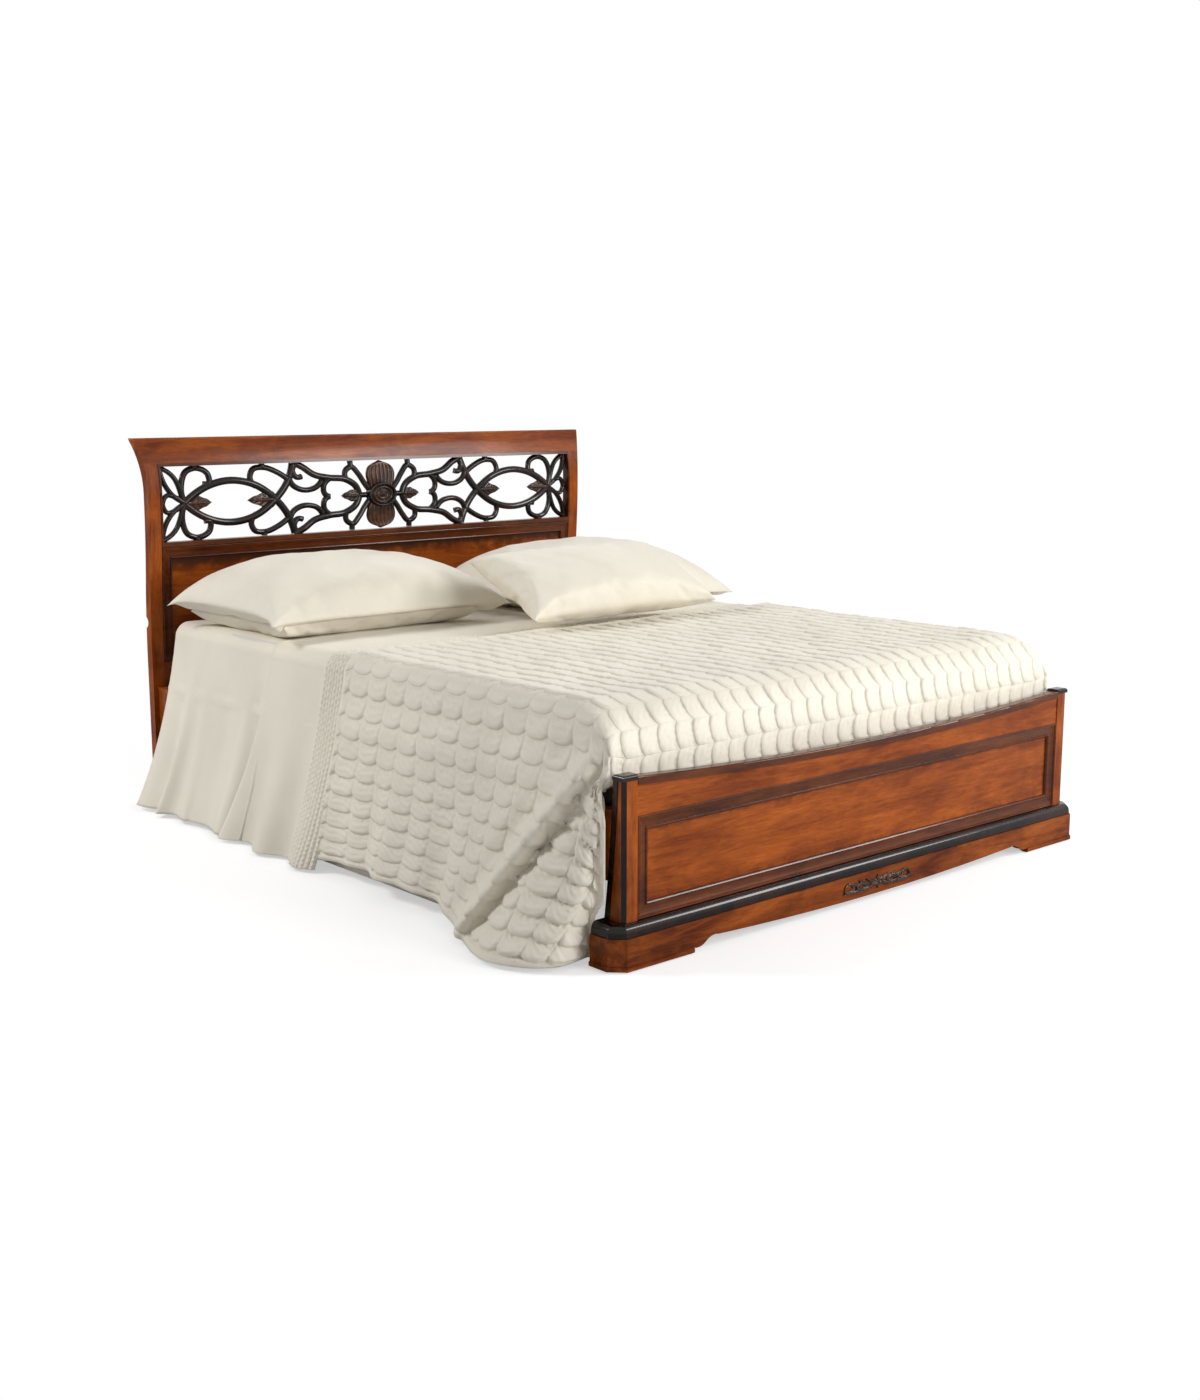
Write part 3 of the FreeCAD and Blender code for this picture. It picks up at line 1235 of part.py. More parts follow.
def quilt():
    """Quilt with a lobe on the floor at each foot corner, tucked in behind the footboard."""
    start, length = d.quilt_lobe_start, d.quilt_end - d.quilt_lobe_start
    reach = d.quilt_lobe_half_width - d.quilt_hem_half_width
    marks = [(start + along * length, d.quilt_hem_half_width + out * reach, bow * reach) for along, out, bow in QUILT_HEM_SHARES]
    slope = d.quilt_hem_rise / length
    drops = [cloth_drop(sign, marks, cover_lift, d.quilt_thickness, d.quilt_hem_height, slope, LOBE_STEPS)
             for sign in SIDES.values()]
    over = cloth_over(start, d.quilt_end, cover_lift, d.quilt_thickness)
    radius = d.mattress_edge_round + cover_lift
    inner_y, outer_y = foot_y + d.mattress_start - cover_lift, foot_y + d.quilt_tuck_setback
    inner_top = mattress_top + cover_lift
    outer_top = inner_top + d.quilt_thickness
    lean = 1 - math.sqrt(0.5)
    run = d.quilt_start - d.quilt_tuck_setback
    crest, shoulder = (foot_y + d.quilt_start, outer_top), (outer_y, outer_top - run)
    bow = (outer_y + run * lean, outer_top - run * lean)
    inner_side, inner_crest = (inner_y, inner_top - radius), (inner_y + radius, inner_top)
    tuck = [
        arc(crest, bow, shoulder), line(shoulder, (outer_y, d.quilt_tuck_bottom)),
        line((outer_y, d.quilt_tuck_bottom), (inner_y, d.quilt_tuck_bottom)),
        line((inner_y, d.quilt_tuck_bottom), inner_side),
        arc(inner_side, (inner_y + radius * lean, inner_top - radius * lean), inner_crest),
        line(inner_crest, (foot_y + d.quilt_start, inner_top)), line((foot_y + d.quilt_start, inner_top), crest),
    ]
    side = d.mattress_half_width + cover_lift + d.quilt_thickness
    tuck = face(tuck, in_side_view(-side)).extrude(Vector(2 * side, 0, 0))
    far = (foot_y, outer_top + run)
    waste = [
        line(far, (foot_y, d.quilt_tuck_bottom)), line((foot_y, d.quilt_tuck_bottom), (outer_y, d.quilt_tuck_bottom)),
        line((outer_y, d.quilt_tuck_bottom), shoulder), arc(shoulder, bow, crest),
        line(crest, (crest[0], far[1])), line((crest[0], far[1]), far),
    ]
    waste = face(waste, in_side_view(-2 * side)).extrude(Vector(4 * side, 0, 0))
    cover = Part.makeBox(2 * side, d.quilt_start, outer_top, Vector(-side, foot_y, 0))
    edges = [edge for edge in cover.Edges if edge.BoundBox.YLength > run and edge.CenterOfMass.z > outer_top - run]
    cover = cover.makeFillet(radius + d.quilt_thickness, edges)
    pieces = [over.cut(waste), tuck.common(cover)] + drops
    feature("quilt", pieces[0].multiFuse(pieces[1:]).removeSplitter())


# Sections of a pillow along its length: place, width and fullness as shares
PILLOW_SHARES = ((-1.0, 0.90, 0.0), (-0.96, 0.97, 0.30), (-0.8, 1.0, 0.66), (-0.45, 0.97, 0.93), (0.0, 0.96, 1.0),
                 (0.45, 0.97, 0.93), (0.8, 1.0, 0.66), (0.96, 0.97, 0.30), (1.0, 0.90, 0.0))
PILLOW_FULLNESS = 2.4
PILLOW_TURNS = (0, 14, 30, 60, 90, 120, 150, 166)
LOWER_BELOW_SHARE = 0.55
UPPER_BELOW_SHARE = 0.3


def bulge_point(half_width, height, degrees):
    """A point of the fuller-than-elliptical outline of a stuffed pillow."""
    across, up = math.cos(math.radians(degrees)), math.sin(math.radians(degrees))
    power = 2 / PILLOW_FULLNESS
    return (half_width * math.copysign(abs(across) ** power, across), height * abs(up) ** power)


def pillow(length, width, above, below, droop):
    """A stuffed pillow about the origin, with full corners, drawn-in sides and drooping ends."""
    rings = []
    for along, wide, full in PILLOW_SHARES:
        sink = -droop * abs(along) ** 3
        ring = []
        for height, sign in ((above, 1), (below, -1)):
            height = d.pillow_edge / 2 + (height - d.pillow_edge / 2) * full
            for degrees in PILLOW_TURNS:
                y, z = bulge_point(width / 2 * wide, height, degrees)
                ring.append(Vector(along * length / 2, sign * y, sink + sign * z))
        rings.append(ring)
    return faceted(rings)


def pillows():
    """Two stacked pillows on each side and a smaller one that leans on the right pair."""
    sheet_top = mattress_top + sheet_lift + d.sheet_thickness
    gap = d.fit_clearance
    quilt_top = mattress_top + cover_lift + d.quilt_thickness
    below = d.lower_pillow_thickness * LOWER_BELOW_SHARE
    uppers = {}
    for side, sign in SIDES.items():
        y = foot_y + d.pillow_centre_setback - (d.right_pillow_shift if sign > 0 else 0)
        lower = pillow(d.lower_pillow_length, d.lower_pillow_width, d.lower_pillow_thickness - below, below, d.lower_pillow_droop)
        lower.translate(Vector(sign * d.lower_pillow_centre, y, sheet_top + gap + below))
        above = d.upper_pillow_crown - d.upper_pillow_edge_height
        upper = pillow(d.pillow_length, d.pillow_width, above, above * UPPER_BELOW_SHARE, d.upper_pillow_droop)
        upper.translate(Vector(sign * d.pillow_centre, y, d.upper_pillow_edge_height))
        raised = lower.copy()
        raised.translate(Vector(0, 0, gap))
        upper = upper.cut(raised)
        feature("pillow_lower_" + side, lower)
        feature("pillow_upper_" + side, upper)
        uppers[side] = upper
    above = d.front_pillow_thickness / 2
    front = pillow(d.front_pillow_length, d.front_pillow_width, above, above, 0)
    front.rotate(Vector(0, 0, 0), Vector(1, 0, 0), d.front_pillow_lean)
    front.translate(Vector(d.front_pillow_centre, foot_y + d.front_pillow_setback, 0))
    front.translate(Vector(0, 0, quilt_top + gap - front.BoundBox.ZMin))
    shifted = uppers["right"].copy()
    shifted.translate(Vector(0, -gap, gap))
    feature("pillow_front", front.cut(shifted))


mattress()
under_sheet()
turned_down_sheet()
quilt()
pillows()


def check_and_write():
    """Stops on any failed object or bad shape, then writes one STEP file per piece."""
    doc.recompute()
    for obj in doc.Objects:
        if "Invalid" in obj.State or "Error" in obj.State:
            raise RuntimeError("%s did not build: %s" % (obj.Label, obj.State))
    for name, obj in nodes.items():
        if obj.Shape.isNull() or not obj.Shape.isValid() or not obj.Shape.Solids:
            raise RuntimeError(name + " has no valid solid")
    os.makedirs("parts", exist_ok=True)
    for name, obj in nodes.items():
        obj.Shape.exportStep(os.path.join("parts", name + ".step"))
    print(len(nodes), "pieces,", sum(len(obj.Shape.Solids) for obj in nodes.values()), "solids")


check_and_write()
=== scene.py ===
import math

import bpy
import numpy as np
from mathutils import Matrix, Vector
from mathutils.bvhtree import BVHTree


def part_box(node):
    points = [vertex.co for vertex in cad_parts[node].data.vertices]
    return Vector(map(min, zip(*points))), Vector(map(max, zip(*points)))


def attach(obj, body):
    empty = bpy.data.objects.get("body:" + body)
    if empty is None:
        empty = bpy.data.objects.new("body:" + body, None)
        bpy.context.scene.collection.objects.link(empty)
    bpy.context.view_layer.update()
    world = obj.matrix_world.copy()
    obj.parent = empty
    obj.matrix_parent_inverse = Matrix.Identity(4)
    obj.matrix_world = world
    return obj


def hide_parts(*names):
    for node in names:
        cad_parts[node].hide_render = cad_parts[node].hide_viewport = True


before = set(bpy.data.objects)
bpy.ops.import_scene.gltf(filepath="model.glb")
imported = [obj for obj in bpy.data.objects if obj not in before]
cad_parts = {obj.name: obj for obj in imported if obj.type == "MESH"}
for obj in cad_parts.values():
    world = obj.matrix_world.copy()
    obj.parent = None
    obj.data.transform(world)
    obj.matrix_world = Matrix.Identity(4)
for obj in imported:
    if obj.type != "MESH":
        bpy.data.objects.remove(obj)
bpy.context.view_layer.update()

bl_info = {
    "name": "Double Bed",
    "version": (1, 0, 0),
    "blender": (4, 5, 0),
    "location": "View3D > Sidebar > Bed",
    "description": "Finishes the double bed: lacquered veneer, ebonised fretwork, quilt, sheets and pillows",
    "category": "Object",
}

FOOT_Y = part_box("plinth_foot_beads")[0].y
MATTRESS_LOW, MATTRESS_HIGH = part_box("mattress")
RAIL_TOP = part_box("side_rail_left")[1].z
RAIL_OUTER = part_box("side_rail_right")[1].x
BED = "bed"
# Divisor of the soft grids' detail, for a quick build; 1 keeps the full detail
FINE = 1


# Small helpers

def smooth_step(low, high, value):
    """0 at low, 1 at high and a soft S between them, for numbers or arrays."""
    share = np.clip((np.asarray(value, float) - low) / (high - low), 0, 1)
    return share * share * (3 - 2 * share)


def hermite(t, low, high, start, end):
    """Smooth curve from low to high with these slopes at its start and end, at shares t."""
    rise = 3 * t ** 2 - 2 * t ** 3
    return low * (1 - rise) + high * rise + (t ** 3 - 2 * t ** 2 + t) * start + (t ** 3 - t ** 2) * end


def smooth_through(value, marks):
    """A smooth line through (place, height) marks, flat at its ends."""
    places = np.array([mark[0] for mark in marks], float)
    heights = np.array([mark[1] for mark in marks], float)
    slopes = np.zeros(len(marks))
    slopes[1:-1] = (heights[2:] - heights[:-2]) / (places[2:] - places[:-2])
    value = np.clip(np.asarray(value, float), places[0], places[-1])
    cell = np.clip(np.searchsorted(places, value, side="right") - 1, 0, len(marks) - 2)
    span = places[cell + 1] - places[cell]
    t = (value - places[cell]) / span
    return hermite(t, heights[cell], heights[cell + 1], slopes[cell] * span, slopes[cell + 1] * span)


def smooth_path(marks, step):
    """Evenly sampled points of a smooth line through the marks (chordal Catmull-Rom)."""
    marks = np.array(marks, float)
    chords = np.linalg.norm(np.diff(marks, axis=0), axis=1)
    if len(marks) == 2:
        count = max(2, int(chords[0] / step))
        return marks[0] + (marks[1] - marks[0]) * np.linspace(0, 1, count + 1)[:, None]
    knots = np.concatenate([[0], np.cumsum(chords)])
    directions = np.diff(marks, axis=0) / chords[:, None]
    share = (chords[:-1] / (chords[:-1] + chords[1:]))[:, None]
    slopes = np.zeros_like(marks)
    slopes[1:-1] = directions[:-1] * (1 - share) + directions[1:] * share
    slopes[0] = 2 * directions[0] - slopes[1]
    slopes[-1] = 2 * directions[-1] - slopes[-2]
    places = np.linspace(0, knots[-1], max(4, int(knots[-1] / step)) + 1)
    cell = np.clip(np.searchsorted(knots, places, side="right") - 1, 0, len(chords) - 1)
    span = chords[cell][:, None]
    t = ((places - knots[cell]) / chords[cell])[:, None]
    return hermite(t, marks[cell], marks[cell + 1], slopes[cell] * span, slopes[cell + 1] * span)


def ripple(x, y, seed=0.0):
    """Gentle uneven waves from a few crossing sines, from about -1 to 1."""
    a = np.sin(2.1 * x + 1.3 * y + seed) + 0.7 * np.sin(-1.7 * x + 2.9 * y + 2.3 * seed + 1.1)
    b = 0.5 * np.sin(4.3 * x - 3.1 * y + 1.7 * seed + 0.4) + 0.35 * np.sin(5.9 * x + 6.7 * y + 3.1 * seed)
    return (a + b) / 2.55


def mesh_piece(name, points, faces, materials):
    """A smooth-shaded mesh object from its corner points and faces."""
    mesh = bpy.data.meshes.new(name)
    mesh.from_pydata([tuple(point) for point in points], [], faces)
    mesh.validate()
    piece = bpy.data.objects.new(name, mesh)
    bpy.context.scene.collection.objects.link(piece)
    for material in materials:
        mesh.materials.append(material)
    mesh.polygons.foreach_set("use_smooth", [True] * len(mesh.polygons))
    return piece


def grid_faces(rows, columns, wrap=False):
    """Four-sided faces of a grid of points, closed across its columns if wrap is set."""
    faces = []
    for row in range(rows - 1):
        for column in range(columns if wrap else columns - 1):
            right = (column + 1) % columns
            faces.append((row * columns + column, row * columns + right,
                          (row + 1) * columns + right, (row + 1) * columns + column))
    return faces


def add_skin(faces, start, rows, columns):
    """Adds the faces of a form with closed rings and flat ends, whose first point has number start."""
    for face in grid_faces(rows, columns, wrap=True):
        faces.append(tuple(start + index for index in face))
    last = start + (rows - 1) * columns
    faces.append(tuple(range(start, start + columns)))
    faces.append(tuple(reversed(range(last, last + columns))))


def add_tube(points, faces, rings):
    """Adds a closed-section tube with flat ends to the lists of points and faces."""
    start = len(points)
    rows, columns = rings.shape[:2]
    points.extend(rings.reshape(-1, 3))
    add_skin(faces, start, rows, columns)


def place(piece, body, slot, *nodes):
    """Gives a new piece its body, and hides the CAD nodes it stands for; slot is not used."""
    if nodes:
        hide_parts(*nodes)
    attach(piece, body)
    return piece


def apply_modifiers(piece):
    """Replaces the piece's mesh by the one its modifiers make."""
    graph = bpy.context.evaluated_depsgraph_get()
    made = bpy.data.meshes.new_from_object(piece.evaluated_get(graph))
    piece.modifiers.clear()
    old = piece.data
    piece.data = made
    made.name = piece.name
    bpy.data.meshes.remove(old)


def thicken(piece, thickness):
    """Gives a sheet its thickness on the inner side."""
    solid = piece.modifiers.new("Thickness", "SOLIDIFY")
    solid.thickness = thickness
    solid.offset = -1
    apply_modifiers(piece)


# Material building blocks

def feed(group, socket, value):
    """Links a socket to another one, or sets its value."""
    if hasattr(value, "is_linked"):
        group.links.new(value, socket)
    else:
        socket.default_value = value


def math_node(group, operation, *values):
    """Math node on sockets or numbers; returns its output."""
    node = group.nodes.new("ShaderNodeMath")
    node.operation = operation
    for socket, value in zip(node.inputs, values):
        feed(group, socket, value)
    return node.outputs[0]


def vector_node(group, operation, *values):
    """Vector math node on sockets or vectors; returns its output."""
    node = group.nodes.new("ShaderNodeVectorMath")
    node.operation = operation
    for socket, value in zip(node.inputs, values):
        feed(group, socket, value)
    return node.outputs["Value" if operation == "LENGTH" else "Vector"]


def scaled(group, vector, scale):
    """A vector or colour times a number; returns the output."""
    node = group.nodes.new("ShaderNodeVectorMath")
    node.operation = "SCALE"
    feed(group, node.inputs[0], vector)
    feed(group, node.inputs["Scale"], scale)
    return node.outputs[0]


def mapped_noise(group, position, stretch, scale, detail, roughness=0.5, distortion=0.0):
    """Noise on a stretched position; returns its value."""
    noise = group.nodes.new("ShaderNodeTexNoise")
    feed(group, noise.inputs["Vector"], vector_node(group, "MULTIPLY", position, stretch))
    for label, number in (("Scale", scale), ("Detail", detail), ("Roughness", roughness),
                          ("Distortion", distortion)):
        noise.inputs[label].default_value = number
    return noise.outputs["Fac"]


def ranged(group, value, low, high, to_low=0.0, to_high=1.0):
    """Value carried smoothly from one range to another; returns the output."""
    node = group.nodes.new("ShaderNodeMapRange")
    node.interpolation_type = "SMOOTHSTEP"
    for label, number in (("Value", value), ("From Min", low), ("From Max", high), ("To Min", to_low),
                          ("To Max", to_high)):
        feed(group, node.inputs[label], number)
    return node.outputs["Result"]


def mixed(group, factor, first, second):
    """Mix of two colours; each may be a socket or a colour."""
    node = group.nodes.new("ShaderNodeMix")
    node.data_type = "RGBA"
    for number, value in ((0, factor), (6, first), (7, second)):
        feed(group, node.inputs[number], value)
    return node.outputs[2]


def node_group(name, inputs, outputs):
    """A shader node group with named inputs and outputs, and its two end nodes."""
    kinds = {"Vector": "NodeSocketVector", "Color": "NodeSocketColor", "Float": "NodeSocketFloat"}
    group = bpy.data.node_groups.new(name, "ShaderNodeTree")
    for label, kind, value in inputs:
        socket = group.interface.new_socket(label, in_out="INPUT", socket_type=kinds[kind])
        socket.default_value = value
    for label, kind in outputs:
        group.interface.new_socket(label, in_out="OUTPUT", socket_type=kinds[kind])
    return group, group.nodes.new("NodeGroupInput").outputs, group.nodes.new("NodeGroupOutput").inputs


def veneer_group():
    """Figured veneer: mottled colour, long grain lines and fine pores."""
    group, start, end = node_group(
        "Veneer figure",
        [("Position", "Vector", (0, 0, 0)), ("Grain", "Vector", (1, 8, 8)), ("Light", "Color", (0.5, 0.2, 0.06, 1)),
         ("Dark", "Color", (0.2, 0.06, 0.02, 1)), ("Figure", "Float", 1.0)],
        [("Color", "Color"), ("Height", "Float"), ("Gloss", "Float")],
    )
    position, grain = start["Position"], start["Grain"]
    cloud = mapped_noise(group, position, (1.0, 1.4, 1.7), 5.0, 4.0, 0.55, 0.6)
    flame = mapped_noise(group, position, grain, 3.2, 6.0, 0.6, 0.9)
    fibre = mapped_noise(group, position, grain, 26.0, 4.0, 0.65, 0.2)
    pore = mapped_noise(group, position, grain, 95.0, 2.0, 0.5)
    mottle = ranged(group, cloud, 0.30, 0.70)
    streak = ranged(group, flame, 0.34, 0.66)
    blend = math_node(group, "MULTIPLY", math_node(group, "ADD", mottle, streak), 0.5)
    blend = math_node(group, "MULTIPLY", blend, start["Figure"])
    base = mixed(group, blend, start["Light"], start["Dark"])
    lines = ranged(group, fibre, 0.30, 0.72, 0.78, 1.12)
    feed(group, end["Color"], scaled(group, base, lines))
    feed(group, end["Height"], ranged(group, pore, 0.25, 0.42))
    feed(group, end["Gloss"], ranged(group, cloud, 0.2, 0.8, 0.20, 0.30))
    return group


def painted_border_shade_group():
    """How near a place is to the edges of an upright rectangle: 1 at the edge, 0 further in; this masks the painted
    shade along a panel's border.
    """
    group, start, end = node_group(
        "Painted border shade",
        [("Position", "Vector", (0, 0, 0)), ("Middle", "Vector", (0, 0, 0)), ("Half size", "Vector", (1, 1, 1)),
         ("Width", "Float", 0.02)],
        [("Mask", "Float")],
    )
    from_middle = vector_node(group, "SUBTRACT", start["Position"], start["Middle"])
    inside = vector_node(group, "SUBTRACT", start["Half size"], vector_node(group, "ABSOLUTE", from_middle))
    split = group.nodes.new("ShaderNodeSeparateXYZ")
    feed(group, split.inputs[0], inside)
    nearest = math_node(group, "MINIMUM", split.outputs["X"], split.outputs["Z"])
    wobble = mapped_noise(group, start["Position"], (1, 1, 1), 30.0, 3.0)
    uneven = math_node(group, "MULTIPLY", start["Width"], ranged(group, wobble, 0.3, 0.7, 0.6, 1.4))
    share = math_node(group, "DIVIDE", nearest, uneven)
    feed(group, end["Mask"], ranged(group, share, 0.0, 1.0, 1.0, 0.0))
    return group


def cloth_group():
    """Sateen: a fine crossed weave, faint slubs and slow changes of tone."""
    group, start, end = node_group(
        "Sateen weave",
        [("Position", "Vector", (0, 0, 0)), ("Color", "Color", (0.8, 0.78, 0.7, 1))],
        [("Color", "Color"), ("Height", "Float"), ("Roughness", "Float")],
    )
    position = start["Position"]
    tone = mapped_noise(group, position, (1, 1, 1), 3.0, 3.0)
    slub = mapped_noise(group, position, (6, 60, 6), 12.0, 2.0)
    cross_slub = mapped_noise(group, position, (60, 6, 60), 12.0, 2.0)
    crease = mapped_noise(group, position, (1, 1.3, 0.8), 9.0, 4.0, 0.55, 0.8)
    threads = math_node(group, "ADD", slub, cross_slub)
    feed(group, end["Color"], scaled(group, start["Color"], ranged(group, tone, 0.3, 0.7, 0.95, 1.03)))
    feed(group, end["Height"], math_node(group, "ADD", math_node(group, "MULTIPLY", threads, 0.35), crease))
    feed(group, end["Roughness"], ranged(group, crease, 0.3, 0.7, 0.42, 0.56))
    return group


# How far the lower seam of a quilted cell curves, as a share of the cell
CELL_CURVE = -0.24
CELL_CURVE_POWER = 3.0
# Colour of the painted shade in the quilt's seams, as shares of the linen's colour
PAINTED_SEAM_SHADE = (0.93, 0.92, 0.89)


def cell_group():
    """Stitching of the quilt: how near a place is to its rounded cell's seam, which masks the painted shade in the
    seams, and the seam's depth.
    """
    group, start, end = node_group("Quilted cells", [("Cells", "Vector", (0, 0, 0))],
                                   [("Seam", "Float"), ("Height", "Float")])
    cells = start["Cells"]
    split = group.nodes.new("ShaderNodeSeparateXYZ")
    feed(group, split.inputs[0], cells)
    place_along = math_node(group, "FRACT", split.outputs["Y"])
    u = math_node(group, "ABSOLUTE", math_node(group, "MULTIPLY_ADD", place_along, 2.0, -1.0))
    rounded = math_node(group, "POWER", u, CELL_CURVE_POWER)
    curve = math_node(group, "MULTIPLY_ADD", rounded, -CELL_CURVE, CELL_CURVE)
    hang = math_node(group, "FRACT", math_node(group, "ADD", split.outputs["X"], curve))
    wobble = mapped_noise(group, cells, (1, 1, 1), 3.0, 2.0)
    side_seam = ranged(group, u, 0.93, 1.0, 0.0, 0.45)
    low_seam = ranged(group, hang, 0.92, 0.995)
    high_seam = ranged(group, hang, 0.05, 0.0)
    seam = math_node(group, "MAXIMUM", side_seam, math_node(group, "MAXIMUM", low_seam, high_seam))
    gather = mapped_noise(group, cells, (1.2, 13.0, 1.0), 1.6, 3.0, 0.6)
    depth = math_node(group, "MULTIPLY", gather, ranged(group, hang, 0.75, 0.0, 0.15, 0.55))
    # The painted seam shade varies from place to place, from 70 to 100 percent
    uneven_shade = ranged(group, wobble, 0.3, 0.7, 0.7, 1.0)
    feed(group, end["Seam"], math_node(group, "MULTIPLY", seam, uneven_shade))
    feed(group, end["Height"], math_node(group, "SUBTRACT", depth, seam))
    return group


def new_material(name):
    """A material with its tree, its Principled BSDF and the object's own position."""
    material = bpy.data.materials.new(name)
    material.use_nodes = True
    tree = material.node_tree
    position = tree.nodes.new("ShaderNodeTexCoord").outputs["Object"]
    return material, tree, tree.nodes["Principled BSDF"], position


def set_inputs(shader, **values):
    """Sets a shader's own sockets by name."""
    for label, value in values.items():
        shader.inputs[label.replace("_", " ")].default_value = value


def add_group(tree, group, **values):
    """Places a node group in a material and feeds its inputs by name; returns its outputs."""
    node = tree.nodes.new("ShaderNodeGroup")
    node.node_tree = group
    for label, value in values.items():
        feed(tree, node.inputs[label.replace("_", " ")], value)
    return node.outputs


def add_bump(tree, height, shader, strength, distance):
    """Turns a height into the shader's normal."""
    bump = tree.nodes.new("ShaderNodeBump")
    bump.inputs["Strength"].default_value = strength
    bump.inputs["Distance"].default_value = distance
    feed(tree, bump.inputs["Height"], height)
    feed(tree, shader.inputs["Normal"], bump.outputs["Normal"])


# Painted shade along the panels' borders, where the mouldings shade the recessed field: its colour and width
PAINTED_BORDER_SHADE = (0.035, 0.012, 0.005, 1)
PAINTED_BORDER_SHADE_WIDTH = 0.05


def veneer(name, groups, light, dark, grain, figure=1.0, painted_shade_box=None, gloss=0.09):
    """Lacquered veneer; the box given, if any, gets painted shade along its front border, darkest at the edges."""
    material, tree, shader, position = new_material(name)
    figured = add_group(tree, groups["veneer"], Position=position, Grain=grain, Light=light, Dark=dark,
                        Figure=figure)
    color = figured["Color"]
    if painted_shade_box:
        low, high = painted_shade_box
        border = add_group(tree, groups["border"], Position=position, Middle=(low + high) / 2,
                           Half_size=(high - low) / 2, Width=PAINTED_BORDER_SHADE_WIDTH)
        # Painted shade: the veneer darkens towards the box's edges
        color = mixed(tree, border["Mask"], color, PAINTED_BORDER_SHADE)
    feed(tree, shader.inputs["Base Color"], color)
    feed(tree, shader.inputs["Roughness"], figured["Gloss"])
    set_inputs(shader, Specular_IOR_Level=0.10, Coat_Weight=gloss, Coat_Roughness=0.10)
    add_bump(tree, figured["Height"], shader, 0.06, 0.0004)
    return material


def cloth(name, groups, color, crease=0.5, cells=False):
    """Sateen cloth, with the quilt's stitched cells and painted shade in their seams if cells is set."""
    material, tree, shader, position = new_material(name)
    woven = add_group(tree, groups["cloth"], Position=position, Color=color)
    tone, height = woven["Color"], woven["Height"]
    if cells:
        flat = tree.nodes.new("ShaderNodeUVMap")
        flat.uv_map = "cells"
        stitched = add_group(tree, groups["cells"], Cells=flat.outputs[0])
        # Painted shade: the linen darkens along the cells' seams
        painted_seam_tone = tuple(share * part for share, part in zip(PAINTED_SEAM_SHADE, color[:3])) + (1,)
        tone = mixed(tree, stitched["Seam"], tone, painted_seam_tone)
        height = math_node(tree, "MULTIPLY_ADD", stitched["Height"], 0.9, height)
    feed(tree, shader.inputs["Base Color"], tone)
    feed(tree, shader.inputs["Roughness"], woven["Roughness"])
    set_inputs(shader, Sheen_Weight=0.12, Sheen_Roughness=0.4, Specular_IOR_Level=0.25)
    add_bump(tree, height, shader, crease, 0.004)
    return material


def plain(name, color, roughness, metallic=0.0, scale=180.0, strength=0.15):
    """Steel, nylon, felt and raw wood: a colour broken up by fine noise."""
    material, tree, shader, position = new_material(name)
    noise = mapped_noise(tree, position, (1, 1, 1), scale, 4.0)
    feed(tree, shader.inputs["Base Color"], scaled(tree, color, ranged(tree, noise, 0.3, 0.7, 0.85, 1.1)))
    rough = ranged(tree, noise, 0.3, 0.7, roughness * 0.85, min(1, roughness * 1.15))
    feed(tree, shader.inputs["Roughness"], rough)
    set_inputs(shader, Metallic=metallic)
    add_bump(tree, noise, shader, strength, 0.0006)
    return material


# Sizes and colours that a user would change

def tone(name, description, color):
    """A colour property."""
    return bpy.props.FloatVectorProperty(name=name, description=description, subtype="COLOR", size=4,
                                         default=color + (1.0,), min=0, max=1)


def length(name, description, size, least, most):
    """A length property."""
    return bpy.props.FloatProperty(name=name, description=description, unit="LENGTH", default=size,
                                   min=least, max=most)


class BedFinishes(bpy.types.PropertyGroup):
    """Tones of the wood and the linen"""
    veneer_light: tone("Light veneer", "Pale tone of the figured veneer", (0.42, 0.098, 0.012))
    veneer_dark: tone("Dark veneer", "Dark tone of the figured veneer", (0.140, 0.024, 0.004))
    ebony: tone("Ebonised wood", "Main tone of the ebonised fretwork and mouldings", (0.006, 0.003, 0.0025))
    ebony_worn: tone("Rubbed ebonised wood", "Brown that shows through the ebonised finish", (0.030, 0.010, 0.006))
    linen: tone("Bed linen", "Ivory of the sheets, quilt and pillows", (0.83, 0.775, 0.66))


class BedSizes(bpy.types.PropertyGroup):
    """Sizes of the quilting, the fretwork and the sheet's band"""
    cell_width: length("Cell width", "Width of one quilted cell across the bed", 0.055, 0.03, 0.2)
    cell_length: length("Cell length", "Length of one quilted cell along the bed", 0.080, 0.03, 0.2)
    cell_puff: length("Cell puff", "How far a cell swells above its stitching", 0.0075, 0.001, 0.02)
    strand_width: length("Strand width", "Width of the fretwork's long strands", 0.0225, 0.005, 0.03)
    tuck_pitch: length("Tuck pitch", "Distance between the stitched tucks of the sheet's band", 0.0125, 0.004, 0.03)


def sizes():
    return bpy.context.scene.bed_sizes


MATERIALS = {}


def shade(color, share):
    """A colour darkened to a share of itself."""
    return tuple(share * part for part in color[:3]) + (1,)


